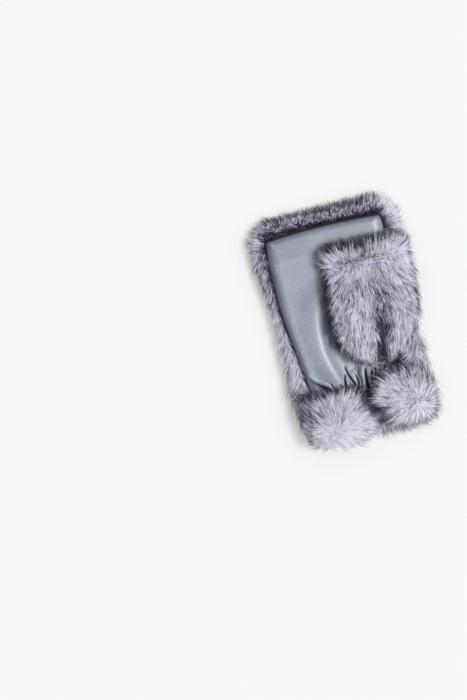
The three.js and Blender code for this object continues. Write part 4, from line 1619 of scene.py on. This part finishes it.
@dataclass(frozen=True)
class Cuff:
    """The fur band round the wrist, whose two ends meet over the palm and have a whorl each."""

    sides: int = 28
    squareness: float = 2.6
    hairs: tuple[int, int] = (38500, 12500)
    hollow_side: tuple[float, float] = (0.58, 0.92)
    slit_x: float = 4.0
    left_whorl: Point = (-30.0, -90.0, 37.0)
    right_whorl: Point = (44.6, -78.5, 38.0)

    def _rings(self) -> Array:
        """Draws the band's rings, each square to its path.

        Returns:
            The rings' points.
        """
        path = np.stack([BAND.column("x"), BAND.column("z")], -1)
        number = np.arange(len(path))
        before, after = path[np.maximum(number - 1, 0)], path[np.minimum(number + 1, len(path) - 1)]
        outward = unit(np.stack([after[:, 1] - before[:, 1], before[:, 0] - after[:, 0]], -1))
        c, s = oval(self.sides, self.squareness)
        thick, top, bottom = (BAND.column(name) for name in ("thick", "top", "bottom"))
        y = ((top + bottom) / 2)[:, None] + ((top - bottom) / 2)[:, None] * c
        rise = s * thick[:, None] / 2
        coarse = np.stack([path[:, :1] + outward[:, :1] * rise, y, path[:, 1:] + outward[:, 1:] * rise], -1)
        return smoothed(coarse, 0, 4)

    def _from_whorl(self, points: Array, axes: int) -> Array:
        """How far points are from the nearer whorl, in two axes or in three."""
        whorls = (self.left_whorl, self.right_whorl)
        return np.min([np.linalg.norm((points - w)[:, :axes], axis=1) for w in whorls], axis=0)

    def build(self, glove: Glove) -> None:
        """Makes the band and its fur.

        Args:
            glove: The glove to add them to.
        """
        rings = self._rings()
        points, faces = tube(rings)
        strips = np.arange(len(faces))
        body = 2 * self.sides * (len(rings) - 1)
        turn = strips % self.sides / self.sides
        ring = strips % (body // 2) // self.sides
        inward = (turn > self.hollow_side[0]) & (turn < self.hollow_side[1])
        skin = inward & (strips < body) & (ring > 6) & (ring < len(rings) - 8)
        shell = glove.pelt("cuff_pelt", points, faces, skin)
        mark(shell, BARE_MARK, ease(7.0, 2.5, self._from_whorl(points, 3)))
        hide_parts("cuff_fur")
        grower = Fur(glove, "cuff", 400)
        for coat, count in zip(COATS, self.hairs):
            roots, normals = self._roots(rings, count, np.random.default_rng(27 + count))
            grower.grow(coat, roots, normals, self._growth(roots))

    def _roots(self, rings: Array, count: int, rng: Rng) -> tuple[Array, Array]:
        """Spreads roots over the band's outer side, its ends and its lip.

        Args:
            rings: The band's rings.
            count: How many roots.
            rng: The random numbers.

        Returns:
            The roots and the outward normals there.
        """
        loop = np.concatenate([rings, rings[:, :1]], axis=1)
        number = np.broadcast_to(np.arange(len(rings))[:, None, None], (*loop.shape[:2], 1))
        turn = np.broadcast_to(np.arange(self.sides + 1)[None, :, None] / self.sides, number.shape)
        spread = Spread(loop, int(count * 2.7), rng)
        roots = spread.points()
        ring, turned = spread.read(number)[:, 0], spread.read(turn)[:, 0]
        middle = between(ring, np.arange(len(rings)), rings.mean(axis=1))
        normals = outwards(spread.flat_normals, roots - middle)
        dense = rng.random(len(roots)) < 0.6 + 0.4 * ease(7, 3, self._from_whorl(roots, 2))
        lip = (roots[:, 1] < -83) & (roots[:, 2] < 18)
        inside = (turned > 0.56) & (turned < 0.94) & ~lip
        ends = (ring < 5) | (ring > len(rings) - 6)
        lifted = (roots[:, 2] > 2.5) | (rng.random(len(roots)) < 0.6)
        keep = np.flatnonzero((~inside | ends) & lifted & dense)[:count]
        return roots[keep], normals[keep]

    def _growth(self, roots: Array) -> Growth:
        """Over the palm the hair spreads from each end's whorl, and elsewhere it lies towards the arm.

        Args:
            roots: Where the hairs grow.

        Returns:
            How they grow there.
        """
        x, y, z = roots.T
        away = roots - np.where((x < self.slit_x)[:, None], self.left_whorl, self.right_whorl)
        distance = np.linalg.norm(away[:, :2], axis=1)
        above = ease(13, 25, z)
        # Close is the round tuft about a whorl and middle its centre, both on the palm side only.
        close = ease(16, 2, distance) * above
        middle = ease(2.5, 0.5, distance) * above
        under = ease(5, 1.5, z)
        down = unit(ways(np.clip(x / 30, -1, 1) * 0.35, -1.0))
        swirl = ways(-away[:, 1], away[:, 0]) * ease(7, 0.5, distance)[:, None]
        spread = unit((away + 0.9 * swirl) * np.array([1, 1, 0.2]))
        flow = spread * above[:, None] + down * (1 - above)[:, None]
        seen = roots + unit(flow) * 4.5
        seen_x, seen_y, _ = seen.T
        # The slit between the two ends is painted dark and so are the tips over the leather, both as painted
        # shade.
        low = ease(-70, -84, seen_y)
        gap = bell(seen_x - 2.8 - 9.5 * low, 5.3) * (1 - 0.45 * low) * ease(-96, -90, y) * above
        over_palm = band((-53, -44, 40, 52), x)
        border = np.interp(seen_x, BORDER.column("x"), BORDER.column("border"))
        fringe = above * over_palm * ease(1.0, -3.0, border - seen_y)
        pale = 0.84 + 0.16 * drift(roots, 8.0, 8) + 0.2 * close - 1.7 * gap - 0.78 * fringe + tone_and_light(seen)
        pale = pale - 0.15 * (1 - above)
        shorter = sum(
            share * bell(np.hypot(x - at_x, y - at_y), reach) for at_x, at_y, share, reach in CORNERS
        )
        length = 1.05 - 0.1 * under - 0.45 * gap * (1 - low) - 0.25 * middle - shorter
        length = length - 0.28 * ease(-44, -52, x)
        slant = 28 + 6 * close - 20 * under + 22 * middle
        return Growth(flow, slant, length, pale, 1 - 0.95 * close, 1 + 3 * middle, 0.8 * fringe)


@dataclass(frozen=True)
class SeamThread:
    """The overcast stitches that join the thumb's sleeve to its turned edge, seen where the fur parts."""

    stitches: int = 30
    left: float = -1.0
    right: float = 54.0
    reach: float = 1.25
    thick: float = 0.2
    sunk: float = 0.25
    flatness: float = 0.55
    slant: float = 68.0
    twist: float = 30.0

    def _stitch(self) -> Object:
        """Models one slanting stitch: a loop that is pulled flat and twisted.

        Returns:
            The stitch, at the origin.
        """
        bpy.ops.object.select_all(action="DESELECT")
        bpy.ops.mesh.primitive_torus_add(
            major_segments=12, minor_segments=5, major_radius=self.reach * MM, minor_radius=self.thick * MM
        )
        stitch = bpy.context.active_object
        bpy.ops.object.mode_set(mode="EDIT")
        bpy.ops.mesh.select_all(action="SELECT")
        bpy.ops.transform.resize(value=(1.0, self.flatness, 1.0))
        for angle, axis in ((90, "X"), (self.slant, "Z")):
            bpy.ops.transform.rotate(value=math.radians(angle), orient_axis=axis, center_override=(0, 0, 0))
        bpy.ops.object.mode_set(mode="OBJECT")
        bpy.ops.object.modifier_add(type="SIMPLE_DEFORM")
        twist = stitch.modifiers[-1]
        twist.deform_method = "TWIST"
        twist.angle = math.radians(self.twist)
        bpy.ops.object.modifier_apply(modifier=twist.name)
        return stitch

    def build(self, glove: Glove, sleeve: Sleeve) -> None:
        """Models one stitch and copies it along the seam.

        Args:
            glove: The glove to add it to.
            sleeve: The sleeve that has the seam.
        """
        ring = sleeve.rings(THUMB, np.array([44.0]), True)[0]
        upper = ring[ring[:, 2] > 32]
        upper = upper[np.argsort(upper[:, 0])]
        stitch = self._stitch()
        made = []
        for x in np.linspace(self.left, self.right, self.stitches):
            twin = stitch.copy()
            twin.data = stitch.data.copy()
            height = np.interp(x, upper[:, 0], upper[:, 2]) - self.sunk
            twin.location = glove.spot(x, sleeve.seam_y, height)
            bpy.context.scene.collection.objects.link(twin)
            made.append(twin)
        bpy.data.objects.remove(stitch)
        bpy.ops.object.select_all(action="DESELECT")
        for twin in made:
            twin.select_set(True)
        bpy.context.view_layer.objects.active = made[0]
        bpy.ops.object.transform_apply(location=True, rotation=True, scale=True)
        bpy.ops.object.join()
        thread = bpy.context.active_object
        thread.name = thread.data.name = "thumb_seam_thread"
        thread.data.materials.clear()
        thread.data.materials.append(glove.finishes["thread"])
        bpy.ops.object.shade_smooth()
        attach(thread, BODY)
        LOG.info("%s: %d stitches", thread.name, self.stitches)


@dataclass(frozen=True)
class Sun:
    """A broad light from far away.

    Lean is how far it leans from overhead, bearing which way that is, from +X towards +Y, and spread how
    broad it is, all in degrees. Power is in watts for each square metre.
    """

    name: str
    lean: float
    bearing: float
    spread: float
    power: float


@dataclass(frozen=True)
class Studio:
    """The camera, the pale floor and the soft light."""

    turn: float = -12.7
    view_height: float = 574.0
    lens: float = 100.0
    sensor: float = 36.0
    aim: Point = (-94.6, -3.9, 20.0)
    floor_metres: float = 12.0
    suns: tuple[Sun, ...] = (Sun("key", 24, -20, 20, 2.62), Sun("overhead", 14, -15, 100, 1.38))
    surround: float = 0.22

    def _link(self, made: Object, place: tuple, turn: Point) -> None:
        """Adds an object to the scene.

        Args:
            made: The object.
            place: Its place in the frame, in metres.
            turn: Its turn about each axis, in degrees.
        """
        made.location = place
        made.rotation_euler = [math.radians(angle) for angle in turn]
        bpy.context.scene.collection.objects.link(made)

    def add_camera(self, shift: Array) -> None:
        """Looks straight down, turned as far as the glove lies turned in the picture.

        Args:
            shift: The way from the glove's own axes to the frame, in millimetres.
        """
        data = bpy.data.cameras.new("camera")
        data.lens = self.lens
        data.sensor_width = self.sensor
        distance = self.view_height * self.lens / self.sensor
        made = bpy.data.objects.new("camera", data)
        self._link(made, tuple((np.array(self.aim) + shift + (0, 0, distance)) * MM), (0, 0, self.turn))
        bpy.context.scene.camera = made

    def add_floor(self, material: Material) -> None:
        """Lays a large pale floor under the glove.

        Args:
            material: Its material.
        """
        bpy.ops.object.select_all(action="DESELECT")
        bpy.ops.mesh.primitive_plane_add(size=self.floor_metres, location=(0, 0, 0))
        floor = bpy.context.active_object
        floor.name = "studio_floor"
        floor.data.materials.append(material)

    def light(self) -> None:
        """Adds the suns, and a plain white surround that fills the shadows."""
        for sun in self.suns:
            data = bpy.data.lights.new(sun.name, "SUN")
            data.angle = math.radians(sun.spread)
            data.energy = sun.power
            self._link(bpy.data.objects.new(sun.name, data), (0, 0, 2), (0, sun.lean, sun.bearing))
        world = bpy.data.worlds.new("surround")
        world.use_nodes = True
        world.node_tree.nodes["Background"].inputs["Color"].default_value = (1, 1, 1, 1)
        world.node_tree.nodes["Background"].inputs["Strength"].default_value = self.surround
        bpy.context.scene.world = world
        bpy.context.scene.view_settings.view_transform = "Standard"


def make_finishes() -> dict[str, Material]:
    """Makes the finishes.

    Returns:
        The materials, by the names that the pieces use.
    """
    finishes = (
        HairFinish(
            "down_hair",
            dark=ramp((0.0, 11, 7, 21), (0.4, 30, 20, 54), (1.0, 52, 38, 86)),
            pale=ramp(
                (0.0, 138, 124, 166), (0.22, 210, 202, 232), (0.7, 240, 238, 251), (1.0, 250, 250, 255)
            ),
            roughness=0.6,
        ),
        HairFinish(
            "guard_hair",
            dark=ramp((0.0, 67, 46, 110), (0.35, 58, 40, 96), (0.6, 21, 12, 38), (1.0, 7, 4, 14)),
            pale=ramp(
                (0.0, 142, 131, 164), (0.25, 214, 208, 233), (0.75, 248, 248, 255), (1.0, 207, 201, 226)
            ),
            roughness=0.42,
        ),
        # Near black as painted shade between the hairs, with the pale skin where the fur parts.
        DownFinish("down_shade", deep=tint(10, 7, 20), light=tint(40, 29, 62), bare=tint(178, 166, 166)),
        SuedeFinish("suede", deep=tint(104, 98, 98), light=tint(134, 127, 124)),
        LeatherFinish(
            "leather",
            deep=tint(82, 89, 103),
            light=tint(130, 138, 152),
            # Painted shade; the creases' dirt and painted shade; the crests' wear and painted highlight.
            painted_shade=tint(60, 65, 77),
            dirt_and_shade=tint(9, 9, 12),
            wear_and_highlight=tint(188, 196, 206),
            grain=1400.0,
            roughness=0.36,
        ),
        ThreadFinish("thread", colour=tint(120, 98, 84)),
        FloorFinish("floor", shade=0.425, glow=0.34),
    )
    return {finish.name: finish.make() for finish in finishes}


def frame_shift() -> Array:
    """Finds how far the frame's origin is from the tables', from the leather's lowest corner in both.

    Returns:
        The shift in millimetres.
    """
    along, across = np.meshgrid(np.linspace(0, 1, 400), np.linspace(0, 1, 37), indexing="ij")
    design = PalmLeather.surface(across, along)
    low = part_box("palm_leather")[0]
    return np.array([low.x / MM - design[..., 0].min(), low.y / MM - design[..., 1].min(), 0.0])


def main() -> None:
    """Builds the glove, its fur and the studio."""
    logging.basicConfig(level=logging.INFO, format="%(message)s")
    shift = frame_shift()
    LOG.info("shift %s", shift)
    studio = Studio()
    studio.add_camera(shift)
    finishes = make_finishes()
    glove = Glove(shift, finishes)
    PalmLeather().build(glove)
    BackPelt().build(glove)
    sleeve = Sleeve()
    sleeve.build(glove)
    SeamThread().build(glove, sleeve)
    Cuff().build(glove)
    studio.add_floor(finishes["floor"])
    studio.light()


if __name__ == "__main__":
    main()
